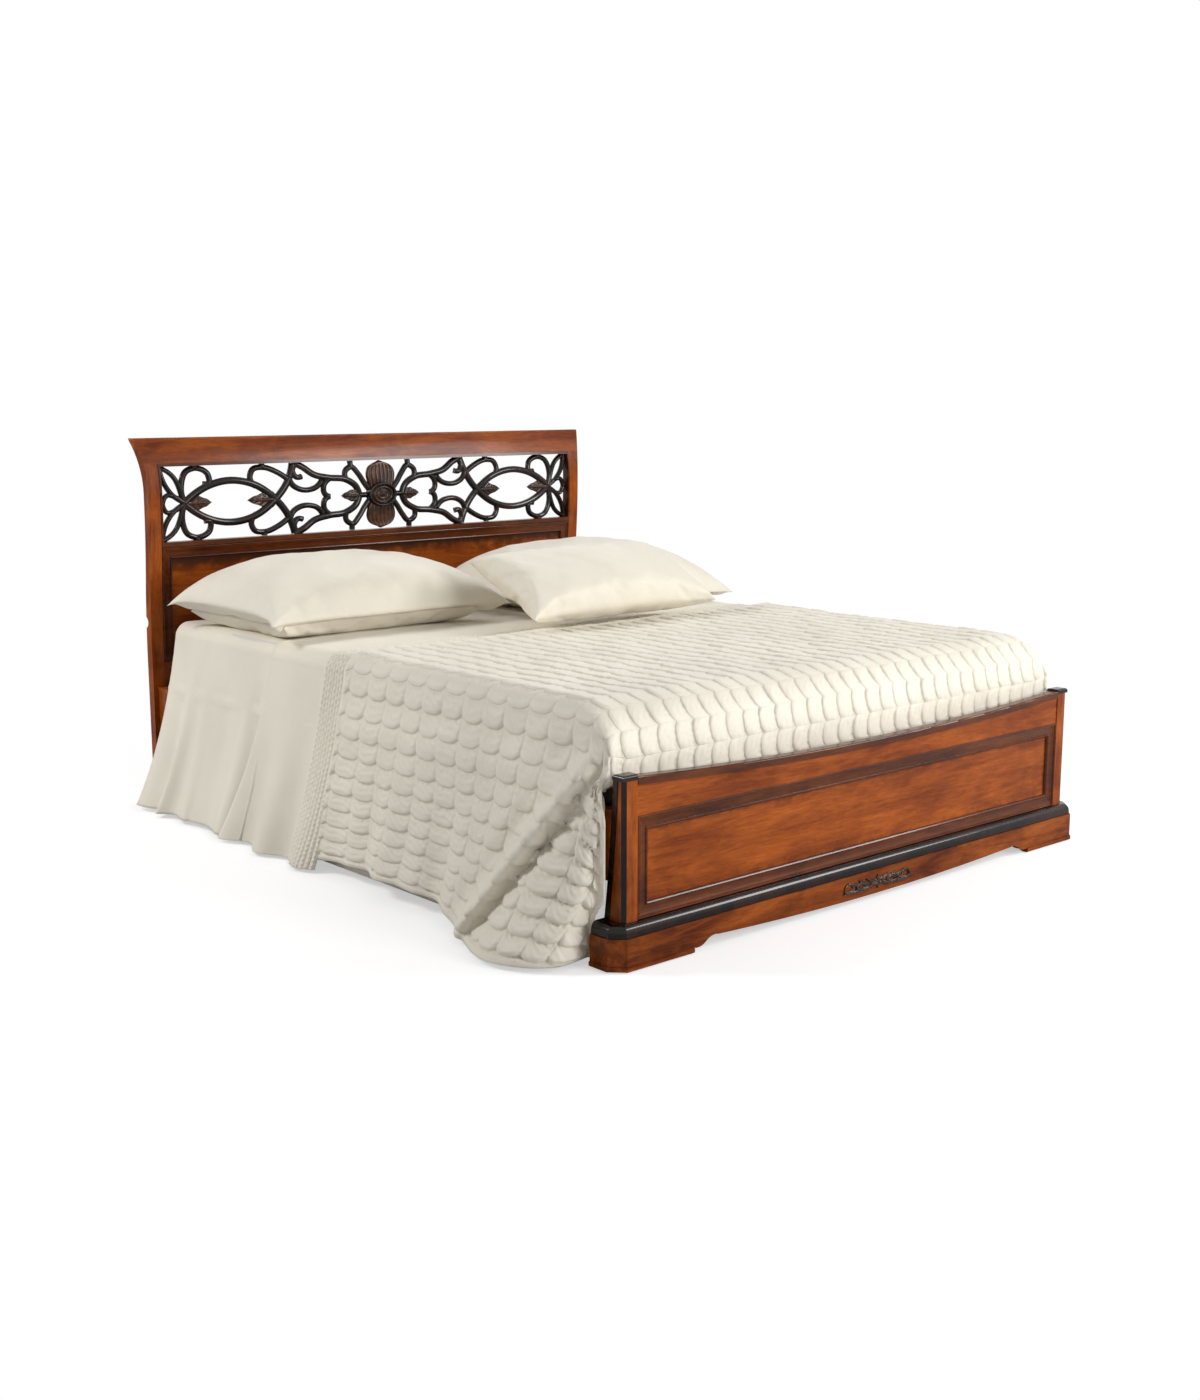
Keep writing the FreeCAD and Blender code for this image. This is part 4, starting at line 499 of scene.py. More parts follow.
class BED_OT_finishes(bpy.types.Operator):
    """Builds the shader groups and every material of the bed"""
    bl_idname = "bed.finishes"
    bl_label = "Finishes"

    def execute(self, context):
        groups = {"veneer": veneer_group(), "border": painted_border_shade_group(), "cloth": cloth_group(), "cells": cell_group()}
        tones = context.scene.bed_finishes
        light, dark = tuple(tones.veneer_light), tuple(tones.veneer_dark)
        across, upright, even = (1.0, 7.0, 9.0), (9.0, 7.0, 1.0), (4, 4, 4)
        foot_panel, head_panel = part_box("footboard_panel"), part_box("headboard_panel")
        make = MATERIALS
        for key, name, light_share, dark_share, grain, more in (
            ("veneer_across", "Veneer, grain across", 1, 1, across, {}),
            ("veneer_upright", "Veneer, grain upright", 1, 1, upright, {}),
            ("panel_foot", "Veneer, footboard panel, painted border shade", 1, 1, across, {"figure": 0.9, "painted_shade_box": foot_panel}),
            ("panel_head", "Veneer, headboard panel, painted border shade", 1, 1, across, {"figure": 0.9, "painted_shade_box": head_panel}),
            ("plinth", "Veneer, plinth", 0.78, 0.6, across, {"figure": 1.15}),
            ("mid_rail", "Veneer, mid rail", 0.62, 0.55, across, {}),
            ("moulding", "Veneer, mouldings", 0.34, 0.35, across, {"gloss": 0.30}),
        ):
            make[key] = veneer(name, groups, shade(light, light_share), shade(dark, dark_share), grain, **more)
        make["ebony"] = veneer("Ebonised wood", groups, tuple(tones.ebony_worn), tuple(tones.ebony), even, 1.6,
                               gloss=0.4)
        make["carved"] = veneer("Carved and rubbed wood", groups, (0.105, 0.038, 0.016, 1),
                                (0.018, 0.008, 0.005, 1), even, 1.3, gloss=0.4)
        make["beech"] = veneer("Bent beech", groups, (0.62, 0.42, 0.24, 1), (0.50, 0.31, 0.16, 1), across)
        make["spruce"] = plain("Planed softwood", (0.60, 0.40, 0.20), 0.6, scale=60.0)
        make["steel"] = plain("Zinc plated steel", (0.55, 0.56, 0.58), 0.32, 1.0)
        make["nylon"] = plain("Moulded nylon", (0.02, 0.02, 0.02), 0.5)
        make["felt"] = plain("Pressed felt", (0.05, 0.045, 0.04), 0.95, scale=700.0, strength=0.6)
        linen = tuple(tones.linen)
        make["sheet"] = cloth("Sheet sateen", groups, linen, crease=0.35)
        make["quilt"] = cloth("Quilt sateen, painted seam shade", groups, linen, crease=0.35, cells=True)
        make["pillow"] = cloth("Pillow sateen", groups, linen, crease=0.4)
        make["ticking"] = cloth("Mattress ticking", groups, (0.70, 0.69, 0.66, 1), crease=0.2)
        return {"FINISHED"}


class BED_OT_woodwork(bpy.types.Operator):
    """Gives the frame's own wooden and steel pieces their finishes"""
    bl_idname = "bed.woodwork"
    bl_label = "Woodwork"

    def execute(self, context):
        wanted = {
            "veneer_across": ("headboard_top_rail", "headboard_bottom_rail", "footboard_frieze_rail",
                              "footboard_lower_rail", "side_rail_left", "side_rail_right"),
            "veneer_upright": ("headboard_post_left", "headboard_post_right", "footboard_post_left",
                               "footboard_post_right"),
            "plinth": ("footboard_plinth", "plinth_foot_beads"),
            "mid_rail": ("headboard_mid_rail",),
            "panel_foot": ("footboard_panel",),
            "panel_head": ("headboard_panel",),
            "moulding": ("headboard_panel_moulding", "footboard_panel_moulding", "footboard_top_lip",
                         "fretwork_bead"),
            "ebony": ("footboard_post_edging_left", "footboard_post_edging_right", "footboard_ebonised_moulding"),
            "spruce": ("rail_ledge_left", "rail_ledge_right", "slat_frame", "slat_frame_centre_beam"),
            "beech": ("slats_left", "slats_right"),
            "steel": ("bed_hook_plates", "bed_hook_sockets", "centre_leg"),
            "nylon": ("slat_holders", "headboard_glides", "centre_leg_foot"),
            "felt": ("plinth_pads",),
        }
        for key, names in wanted.items():
            for name in names:
                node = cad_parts[name]
                node.data.materials.clear()
                node.data.materials.append(MATERIALS[key])
        return {"FINISHED"}


# Headboard curve, the same as the frame's: lean forward, then flare to the rear
LEAN_START, LEAN_END, LEAN = 0.430, 0.939, 0.024
FLARE_TOP, FLARE_BACK = 1.098, 0.035
HEAD_FACE_Y = FOOT_Y + 2.140
FRET_MIDDLE_Z, FRET_HALF_HEIGHT, FRET_HALF_LENGTH = 0.904, 0.113, 0.800
# Fretwork's rear face behind the headboard's front face, its thickness, and how it is sampled
FRET_REAR, FRET_DEPTH, FRET_STEP, FRET_MARGIN = 0.025, 0.0145, 0.004, 0.001
# Crossing strands differ in depth by this much, so that one passes over the other
STRAND_LIFT, STRAND_LIFTS = 0.0006, 4


def face_y(z, depth=0.0):
    """Y of the headboard's front face at heights z, or of a face this far behind it."""
    z = np.asarray(z, float)
    middle = (LEAN_START + LEAN_END) / 2
    half = (LEAN_END - LEAN_START) / 2
    radius = (half ** 2 + (LEAN / 2) ** 2) / LEAN
    flare_rise = FLARE_TOP - LEAN_END
    flare = (flare_rise ** 2 + FLARE_BACK ** 2) / (2 * FLARE_BACK)
    low = radius - np.sqrt(np.maximum(radius ** 2 - (z - LEAN_START) ** 2, 0))
    high = LEAN - radius + np.sqrt(np.maximum(radius ** 2 - (LEAN_END - z) ** 2, 0))
    top = LEAN - flare + np.sqrt(np.maximum(flare ** 2 - (z - LEAN_END) ** 2, 0))
    lean = np.where(z <= LEAN_START, 0, np.where(z <= middle, low, np.where(z <= LEAN_END, high, top)))
    return HEAD_FACE_Y + depth - lean


def head_surface(x, z, depth):
    """Point on a face this far behind the headboard's front face."""
    return (x, float(face_y(z, depth)), z)


# Fretwork's quarter: share of the strand width, then centre line in shares of half length and half height
STRANDS = (
    (1.0, ((0.412, -1.04), (0.450, -0.40), (0.505, 0.03), (0.590, 0.42), (0.698, 0.57), (0.800, 0.43), (0.897, 0.0))),
    (0.95, ((0.418, 1.0), (0.375, 0.88), (0.320, 0.64), (0.255, 0.54), (0.168, 0.46), (0.120, 0.24), (0.106, 0.0))),
    (0.8, ((0.896, 0.02), (0.908, 0.42), (0.884, 0.84), (0.838, 0.93), (0.792, 0.76), (0.790, 0.52), (0.815, 0.50))),
    (0.8, ((0.440, 0.53), (0.492, 0.76), (0.550, 0.89), (0.597, 0.83), (0.610, 0.62), (0.588, 0.38))),
    (0.8, ((0.436, 0.60), (0.424, 0.40), (0.390, 0.25), (0.345, 0.22), (0.306, 0.31), (0.284, 0.47))),
    (0.8, ((0.404, 0.94), (0.417, 0.76), (0.405, 0.60), (0.378, 0.60))),
    (0.8, ((0.250, 0.50), (0.276, 0.30), (0.273, 0.10), (0.250, 0.0))),
    (0.8, ((0.168, 0.46), (0.170, 0.70), (0.140, 0.82), (0.106, 0.60), (0.080, 0.34), (0.050, 0.10))),
    (0.65, ((0.898, 0.02), (0.945, 0.23), (0.974, 0.50), (0.992, 0.97))),
    (0.65, ((0.905, 0.05), (0.916, 0.40), (0.936, 0.70), (0.992, 0.97))),
    (0.65, ((0.896, 0.0), (0.936, 0.18), (0.968, 0.23), (0.988, 0.0))),
    (0.8, ((0.108, 0.0), (0.040, 0.0))),
    (0.8, ((0.846, 0.9), (0.846, 0.99))),
    (0.8, ((0.552, 0.86), (0.552, 0.99))),
    (0.8, ((0.142, 0.8), (0.142, 0.99))),
)
# Leaves on the fretwork's middle line: root, tip and half width in shares of half length and half height
LEAVES = ((0.893, 0.783, 0.27), (0.500, 0.622, 0.27), (0.108, 0.190, 0.23))
# Half width of the fan shells beside the boss in metres, against the share of the half height
FAN = ((0.24, 0.044), (0.45, 0.052), (0.66, 0.056), (0.84, 0.049), (0.94, 0.034), (0.985, 0.012))
FAN_FLUTES = 7
FAN_ROWS, FAN_COLUMNS = 34, 85
FAN_BOW = 0.07
LEAF_ROWS, LEAF_COLUMNS = 22, 15
# Cross-section of a carved strand: share of its half width, share of its depth
STRAND_PROFILE = ((-0.92, 0.0), (-1.0, 0.30), (-0.97, 0.62), (-0.72, 0.84), (-0.38, 0.90), (-0.16, 1.0), (0.16, 1.0),
                  (0.38, 0.90), (0.72, 0.84), (0.97, 0.62), (1.0, 0.30), (0.92, 0.0))
# Turned section of the boss: share of its radius, share of its height
BOSS_PROFILE = ((1.0, 0.0), (1.0, 0.62), (0.985, 0.78), (0.95, 0.90), (0.90, 0.95), (0.84, 0.92), (0.79, 0.80),
                (0.76, 0.62), (0.73, 0.62), (0.69, 0.84), (0.64, 0.92), (0.58, 0.93), (0.53, 0.86), (0.50, 0.72),
                (0.47, 0.72), (0.43, 0.84), (0.36, 0.90), (0.28, 0.90), (0.24, 0.80), (0.21, 0.80), (0.17, 0.92),
                (0.10, 1.0), (0.03, 1.02))
BOSS_RIM_STEPS = 7
BOSS_HALF_WIDTH, BOSS_HALF_HEIGHT, BOSS_PROUD, BOSS_TURNS = 0.056, 0.040, 0.010, 96


def strand_points(path, width, surface, depth_rear, depth):
    """Rings of a strand along a flat path; surface turns (x, z, depth) into a place in space."""
    way = np.gradient(path, axis=0)
    way /= np.maximum(np.linalg.norm(way, axis=1, keepdims=True), 1e-9)
    side = np.stack([-way[:, 1], way[:, 0]], axis=1)
    rings = []
    for spot, across in zip(path, side):
        ring = []
        for out, up in STRAND_PROFILE:
            flat = spot + across * out * width / 2
            ring.append(surface(flat[0], flat[1], depth_rear - up * depth))
        rings.append(ring)
    return np.array(rings)


def add_leaf(points, faces, root, tip, half_width, surface, rear, depth, lobes=3):
    """A carved leaf: lobed outline, raised midrib and cut veins."""
    start = len(points)
    root, tip = np.array(root, float), np.array(tip, float)
    way = tip - root
    size = np.linalg.norm(way)
    way /= size
    side = np.array([-way[1], way[0]])
    outs = [2 * column / (LEAF_COLUMNS - 1) - 1 for column in range(LEAF_COLUMNS)]
    for row in range(LEAF_ROWS):
        along = row / (LEAF_ROWS - 1)
        body = (max(1 - along, 0) ** 0.85 * min(along * 5, 1) ** 0.5 * (1 + 1.5 * along)) / 1.35
        lobe = 1 + 0.07 * math.cos(2 * math.pi * lobes * along + 2.6)
        width = half_width * max(body * lobe, 0.03)

        def spot(out, share):
            sweep = along * size - 0.10 * size * abs(out) * (1 - along)
            return root + way * sweep + side * width * out * share

        for out in outs:
            flat = spot(out, 1)
            crest = 1 - 0.55 * abs(out) ** 1.3
            rib = 0.30 * math.exp(-(out / 0.14) ** 2)
            vein = 0.16 * math.sin(2 * math.pi * (5 * along - 1.6 * abs(out)))
            height = depth * (0.40 + 0.36 * crest + rib + vein * (abs(out) < 0.95)) * (0.75 + 0.25 * body)
            points.append(surface(flat[0], flat[1], rear - height))
        for out in reversed(outs):
            flat = spot(out, 0.9)
            points.append(surface(flat[0], flat[1], rear))
    add_skin(faces, start, LEAF_ROWS, 2 * LEAF_COLUMNS)


class BED_OT_fretwork(bpy.types.Operator):
    """Carves the pierced scrollwork, its leaves, its fans and the oval boss"""
    bl_idname = "bed.fretwork"
    bl_label = "Fretwork"

    def execute(self, context):
        points, faces, leaf_points, leaf_faces = [], [], [], []
        scale = np.array([FRET_HALF_LENGTH, FRET_HALF_HEIGHT])
        low = FRET_MIDDLE_Z - FRET_HALF_HEIGHT + FRET_MARGIN
        high = FRET_MIDDLE_Z + FRET_HALF_HEIGHT - FRET_MARGIN
        carved = FRET_DEPTH * 1.05
        for mirror_x in (-1, 1):
            for mirror_z in (-1, 1):
                flip = np.array([mirror_x, mirror_z])
                for number, (width, marks) in enumerate(STRANDS):
                    path = smooth_path(np.array(marks) * scale * flip, FRET_STEP) + np.array([0, FRET_MIDDLE_Z])
                    path = path[(path[:, 1] > low) & (path[:, 1] < high)]
                    if len(path) < 2:
                        continue
                    depth = FRET_DEPTH - STRAND_LIFT * (number % STRAND_LIFTS)
                    rings = strand_points(path, sizes().strand_width * width, head_surface, FRET_REAR, depth)
                    add_tube(points, faces, rings)
            for root, tip, half in LEAVES:
                ends = [(end * FRET_HALF_LENGTH * mirror_x, FRET_MIDDLE_Z) for end in (root, tip)]
                add_leaf(leaf_points, leaf_faces, ends[0], ends[1], half * FRET_HALF_HEIGHT, head_surface,
                         FRET_REAR, carved)
        for sign in (-1, 1):
            self.fan(leaf_points, leaf_faces, sign, carved)
        fret = mesh_piece("carved_fretwork", points, faces, [MATERIALS["ebony"]])
        place(fret, BED, "ebonised_wood", "headboard_fretwork")
        leaves = mesh_piece("fretwork_leaves", leaf_points, leaf_faces, [MATERIALS["carved"]])
        place(leaves, BED, "ebonised_wood")
        self.boss()
        return {"FINISHED"}

    def fan(self, points, faces, sign, depth):
        """A fluted shell that opens from the boss towards the rail."""
        start = len(points)
        outs = np.linspace(-1, 1, FAN_COLUMNS)
        for share in np.linspace(FAN[0][0], FAN[-1][0], FAN_ROWS):
            half_width = float(smooth_through(share, FAN))
            rim_rise = float(smooth_step(0.80, 0.93, share))
            end_fall = 1 - 0.9 * float(smooth_step(0.95, 0.985, share))

            def height_at(out):
                bow = FAN_BOW * (1 - out ** 2) * share
                return FRET_MIDDLE_Z + sign * FRET_HALF_HEIGHT * min(share - FAN_BOW + bow, 0.985)

            for out in outs:
                flute = abs(math.sin(math.pi * FAN_FLUTES * (out + 1) / 2)) ** 0.6
                rim = max(float(smooth_step(0.80, 0.94, abs(out))), rim_rise)
                fall = (1 - float(smooth_step(0.94, 1.0, abs(out)))) * end_fall
                crown = 0.72 + 0.20 * (1 - out ** 2)
                height = depth * (0.25 + fall * (crown - 0.25) * ((1 - rim) * (0.45 + 0.55 * flute) + rim))
                points.append(head_surface(out * half_width, height_at(out), FRET_REAR - height))
            for out in np.linspace(1, -1, FAN_COLUMNS):
                points.append(head_surface(out * half_width * 0.98, height_at(out), FRET_REAR))
        add_skin(faces, start, FAN_ROWS, 2 * FAN_COLUMNS)

    def boss(self):
        """Oval boss with a rope rim, two rings and a button."""
        front = FRET_DEPTH + BOSS_PROUD
        rings = []
        for out, up in BOSS_PROFILE:
            ring = []
            for turn in range(BOSS_TURNS):
                angle = 2 * math.pi * turn / BOSS_TURNS
                rope = 0.045 * math.sin(26 * angle + 40 * out) if 0.80 < out < 0.97 else 0.0
                x = out * BOSS_HALF_WIDTH * math.cos(angle)
                z = FRET_MIDDLE_Z + out * BOSS_HALF_HEIGHT * math.sin(angle)
                ring.append((x, float(face_y(FRET_MIDDLE_Z, FRET_REAR)) - front * (up + rope), z))
            rings.append(ring)
        points, faces = [], []
        add_tube(points, faces, np.array(rings))
        boss = mesh_piece("fretwork_rosette", points, faces, [MATERIALS["ebony"], MATERIALS["carved"]])
        rim_faces = BOSS_TURNS * BOSS_RIM_STEPS
        inner = [int(number >= rim_faces) for number in range(len(boss.data.polygons))]
        boss.data.polygons.foreach_set("material_index", inner)
        place(boss, BED, "ebonised_wood", "fretwork_boss")


# Spray on the plinth: scrolls, then leaves as root, tip and half width, in shares of half length and half height
SPRAY_SCROLLS = (
    ((0.10, 0.0), (0.24, -0.48), (0.44, -0.62), (0.60, -0.20), (0.52, 0.30), (0.40, 0.10)),
    ((0.52, -0.5), (0.74, -0.66), (0.94, -0.20), (0.90, 0.44), (0.74, 0.46), (0.72, 0.10)),
)
SPRAY_LEAVES = (
    ((0.12, 0.05), (0.34, 0.80), 0.0075), ((0.28, -0.10), (0.56, 0.86), 0.008),
    ((0.50, 0.0), (0.80, 0.72), 0.0065), ((0.30, -0.30), (0.58, -0.92), 0.006),
    ((0.66, -0.30), (0.99, -0.72), 0.005), ((0.10, -0.1), (0.30, -0.9), 0.006),
)
SPRAY_SCROLL_WIDTH, SPRAY_SCROLL_DEPTH, SPRAY_LEAF_DEPTH, SPRAY_STEP = 0.0075, 0.0048, 0.0046, 0.002
# Small flower in its middle: petals, start radius, reach across and up, half width and depth
PETALS, PETAL_START, PETAL_REACH, PETAL_RISE = 6, 0.003, 0.024, 0.0175
PETAL_HALF_WIDTH, PETAL_DEPTH = 0.0062, 0.0047


class BED_OT_plinth_spray(bpy.types.Operator):
    """Carves the leaf spray on the middle of the plinth"""
    bl_idname = "bed.plinth_spray"
    bl_label = "Plinth spray"

    def execute(self, context):
        low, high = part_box("plinth_ornament")
        middle = np.array([0, (low.z + high.z) / 2])
        half = np.array([(high.x - low.x) / 2, (high.z - low.z) / 2])
        points, faces = [], []

        def surface(x, z, depth):
            return (x, high.y + depth, z)

        for sign in (-1, 1):
            scale = half * np.array([sign, 1])
            for marks in SPRAY_SCROLLS:
                path = smooth_path(np.array(marks) * scale, SPRAY_STEP) + middle
                add_tube(points, faces, strand_points(path, SPRAY_SCROLL_WIDTH, surface, 0.0, SPRAY_SCROLL_DEPTH))
            for root, tip, width in SPRAY_LEAVES:
                ends = [np.array(end) * scale + middle for end in (root, tip)]
                add_leaf(points, faces, ends[0], ends[1], width, surface, 0.0, SPRAY_LEAF_DEPTH)
        for turn in range(PETALS):
            angle = math.pi / 6 + turn * math.pi / 3
            way = np.array([math.cos(angle), math.sin(angle)])
            root, tip = way * PETAL_START + middle, way * np.array([PETAL_REACH, PETAL_RISE]) + middle
            add_leaf(points, faces, root, tip, PETAL_HALF_WIDTH, surface, 0.0, PETAL_DEPTH, lobes=1)
        spray = mesh_piece("plinth_leaf_spray", points, faces, [MATERIALS["carved"]])
        place(spray, BED, "walnut", "plinth_ornament")
        return {"FINISHED"}


# Bedding

EDGE_RADIUS = 0.042
RAIL_GAP = 0.004
FLOOR_GAP = 0.012


def section(lift, hem_x, hem_z, across, down):
    """Half cross-section of cloth over the mattress. across runs from 0 in the middle to 1 at the
    start of the edge and 2 at its end; down runs from 0 there to 1 at the hem."""
    top = MATTRESS_HIGH.z + lift
    edge = MATTRESS_HIGH.x + lift
    radius = EDGE_RADIUS + lift
    flat = edge - radius
    turn = np.clip(across - 1, 0, 1) * math.pi / 2
    x = np.where(across <= 1, flat * across, flat + radius * np.sin(turn))
    z = np.where(across <= 1, top, top - radius + radius * np.cos(turn))
    knee_x = RAIL_OUTER + lift + RAIL_GAP
    side_z = top - radius
    control_x = 2 * knee_x - (edge + knee_x) / 2
    control_z = side_z * 0.40
    fall_x = (1 - down) ** 2 * edge + 2 * down * (1 - down) * control_x + down ** 2 * hem_x
    fall_z = (1 - down) ** 2 * side_z + 2 * down * (1 - down) * control_z + down ** 2 * hem_z
    return np.where(down > 0, fall_x, x), np.where(down > 0, fall_z, z)


def cloth_grid(along, lift, counts, fall):
    """Sample places over a whole cloth, from hem to hem: place along the bed, flat distance from
    the middle, across and down as section() takes them, and the side (-1 or 1)."""
    count_flat, count_edge, count_fall = counts
    flat = MATTRESS_HIGH.x - EDGE_RADIUS
    bend = (EDGE_RADIUS + lift) * math.pi / 2
    across = np.concatenate([np.linspace(0, 1, count_flat, endpoint=False),
                             np.linspace(1, 2, count_edge, endpoint=False), np.full(count_fall, 2.0)])
    down = np.concatenate([np.zeros(count_flat + count_edge), np.linspace(0, 1, count_fall)])
    down[count_flat + count_edge] = 1e-6
    distance = np.minimum(across, 1) * flat + np.clip(across - 1, 0, 1) * bend + down * fall
    sign = np.concatenate([-np.ones(len(across)), np.ones(len(across) - 1)])
    across, down, distance = (np.concatenate([row[::-1], row[1:]]) for row in (across, down, distance))
    grid_t, grid_s = np.meshgrid(along, distance * sign, indexing="ij")
    return grid_t, grid_s, *(np.broadcast_to(row, grid_t.shape) for row in (across, down, sign))


def outward_normals(points):
    """Unit normals of a cloth's grid of points, on its upper side."""
    normals = np.cross(np.gradient(points, axis=0), np.gradient(points, axis=1))
    normals = normals / np.maximum(np.linalg.norm(normals, axis=2, keepdims=True), 1e-9)
    rows, columns = points.shape[:2]
    return -normals if normals[rows // 2, columns // 2, 2] < 0 else normals


def cloth_piece(name, points, material):
    """A cloth's mesh from its grid of points."""
    return mesh_piece(name, points.reshape(-1, 3), grid_faces(*points.shape[:2]), [MATERIALS[material]])


def flat_map(piece, name, across, along):
    """Stores each point's flat place on the cloth as a map that the cloth's material reads."""
    mesh = piece.data
    corner = np.empty(len(mesh.loops), np.int32)
    mesh.loops.foreach_get("vertex_index", corner)
    values = np.stack([across.reshape(-1)[corner], along.reshape(-1)[corner]], axis=1)
    mesh.uv_layers.new(name=name).data.foreach_set("uv", values.reshape(-1).astype(np.float32))


def cell_puff(down, along, puff):
    """Height of quilted cells: each hangs full over the curved seam at its lower end. Both
    places count cells, down the drop and along the bed."""
    u = 2 * (along - np.floor(along)) - 1
    down = down + CELL_CURVE * (1 - np.abs(u) ** 3)
    hang = down - np.floor(down)
    side = 0.42 + 0.58 * np.clip(1 - np.abs(u) ** 5, 0, 1) ** 0.7
    belly = (1 - (1 - hang) ** 1.8) * np.clip(1 - hang ** 8, 0, 1) ** 0.55
    uneven = 1 + 0.16 * np.sin(2.4 * np.floor(along) + 1.7 * np.floor(down)) + 0.10 * np.sin(5.1 * np.floor(down))
    pucker = 0.14 * np.sin(26 * along + 5 * np.sin(7 * down)) * (1 - hang) ** 2
    pucker = pucker + 0.07 * np.sin(17 * down + 9 * along + 3 * np.sin(5 * along))
    return puff * side * uneven * (belly + pucker)


# The quilt's hem: flat distance along it, half width there, distance from the foot and height
QUILT_HEM = (
    (0.0, 0.868, 0.066, 0.012), (0.09, 0.925, 0.094, 0.012), (0.18, 0.996, 0.138, 0.012),
    (0.27, 1.040, 0.215, 0.012), (0.36, 1.038, 0.296, 0.012), (0.45, 1.004, 0.372, 0.013),
    (0.54, 0.966, 0.446, 0.018), (0.64, 0.938, 0.530, 0.032), (0.80, 0.922, 0.690, 0.046),
    (0.95, 0.926, 0.850, 0.048), (1.10, 0.908, 1.010, 0.042), (1.22, 0.900, 1.130, 0.034),
)
QUILT_LIFT, QUILT_FALL, QUILT_THICKNESS = 0.0185, 0.56, 0.010
# Where it is tucked in behind the footboard, where it bends onto the bed and where it ends
QUILT_FRONT, QUILT_CREST, QUILT_END, TUCK_DROP = 0.088, 0.205, 1.122, 0.10
RIGHT_CORNER_MORE = 0.012
# The quilt's inner side stays this far outside the side rails and the posts
QUILT_CLEAR, CLEAR_SOFTNESS = 0.0155, 0.008
# Beside a post: distance from the foot, more of it above the plinth, and spread along the cloth
POST_Y, PLINTH_MORE, POST_SPREAD = 0.064, 0.034, 0.7
# Long fold from the corner to the hem: start and slant in flat distance, half widths and depths
FOLD_START, FOLD_SLANT = 0.180, 0.33
RIDGE_WIDTH, RIDGE_HEIGHT = 0.028, 0.030
VALLEY_PLACE, VALLEY_WIDTH, VALLEY_DEPTH = 0.060, 0.030, 0.024
SECOND_PLACE, SECOND_WIDTH, SECOND_DEPTH = 0.085, 0.045, 0.014
FOLD_SWAY = 0.012
# How much closer the rows of cells lie over the foot end than along the bed
FRONT_CELLS = 1.30
HEM_ROLL, HEM_WIDTH = 0.004, 0.010


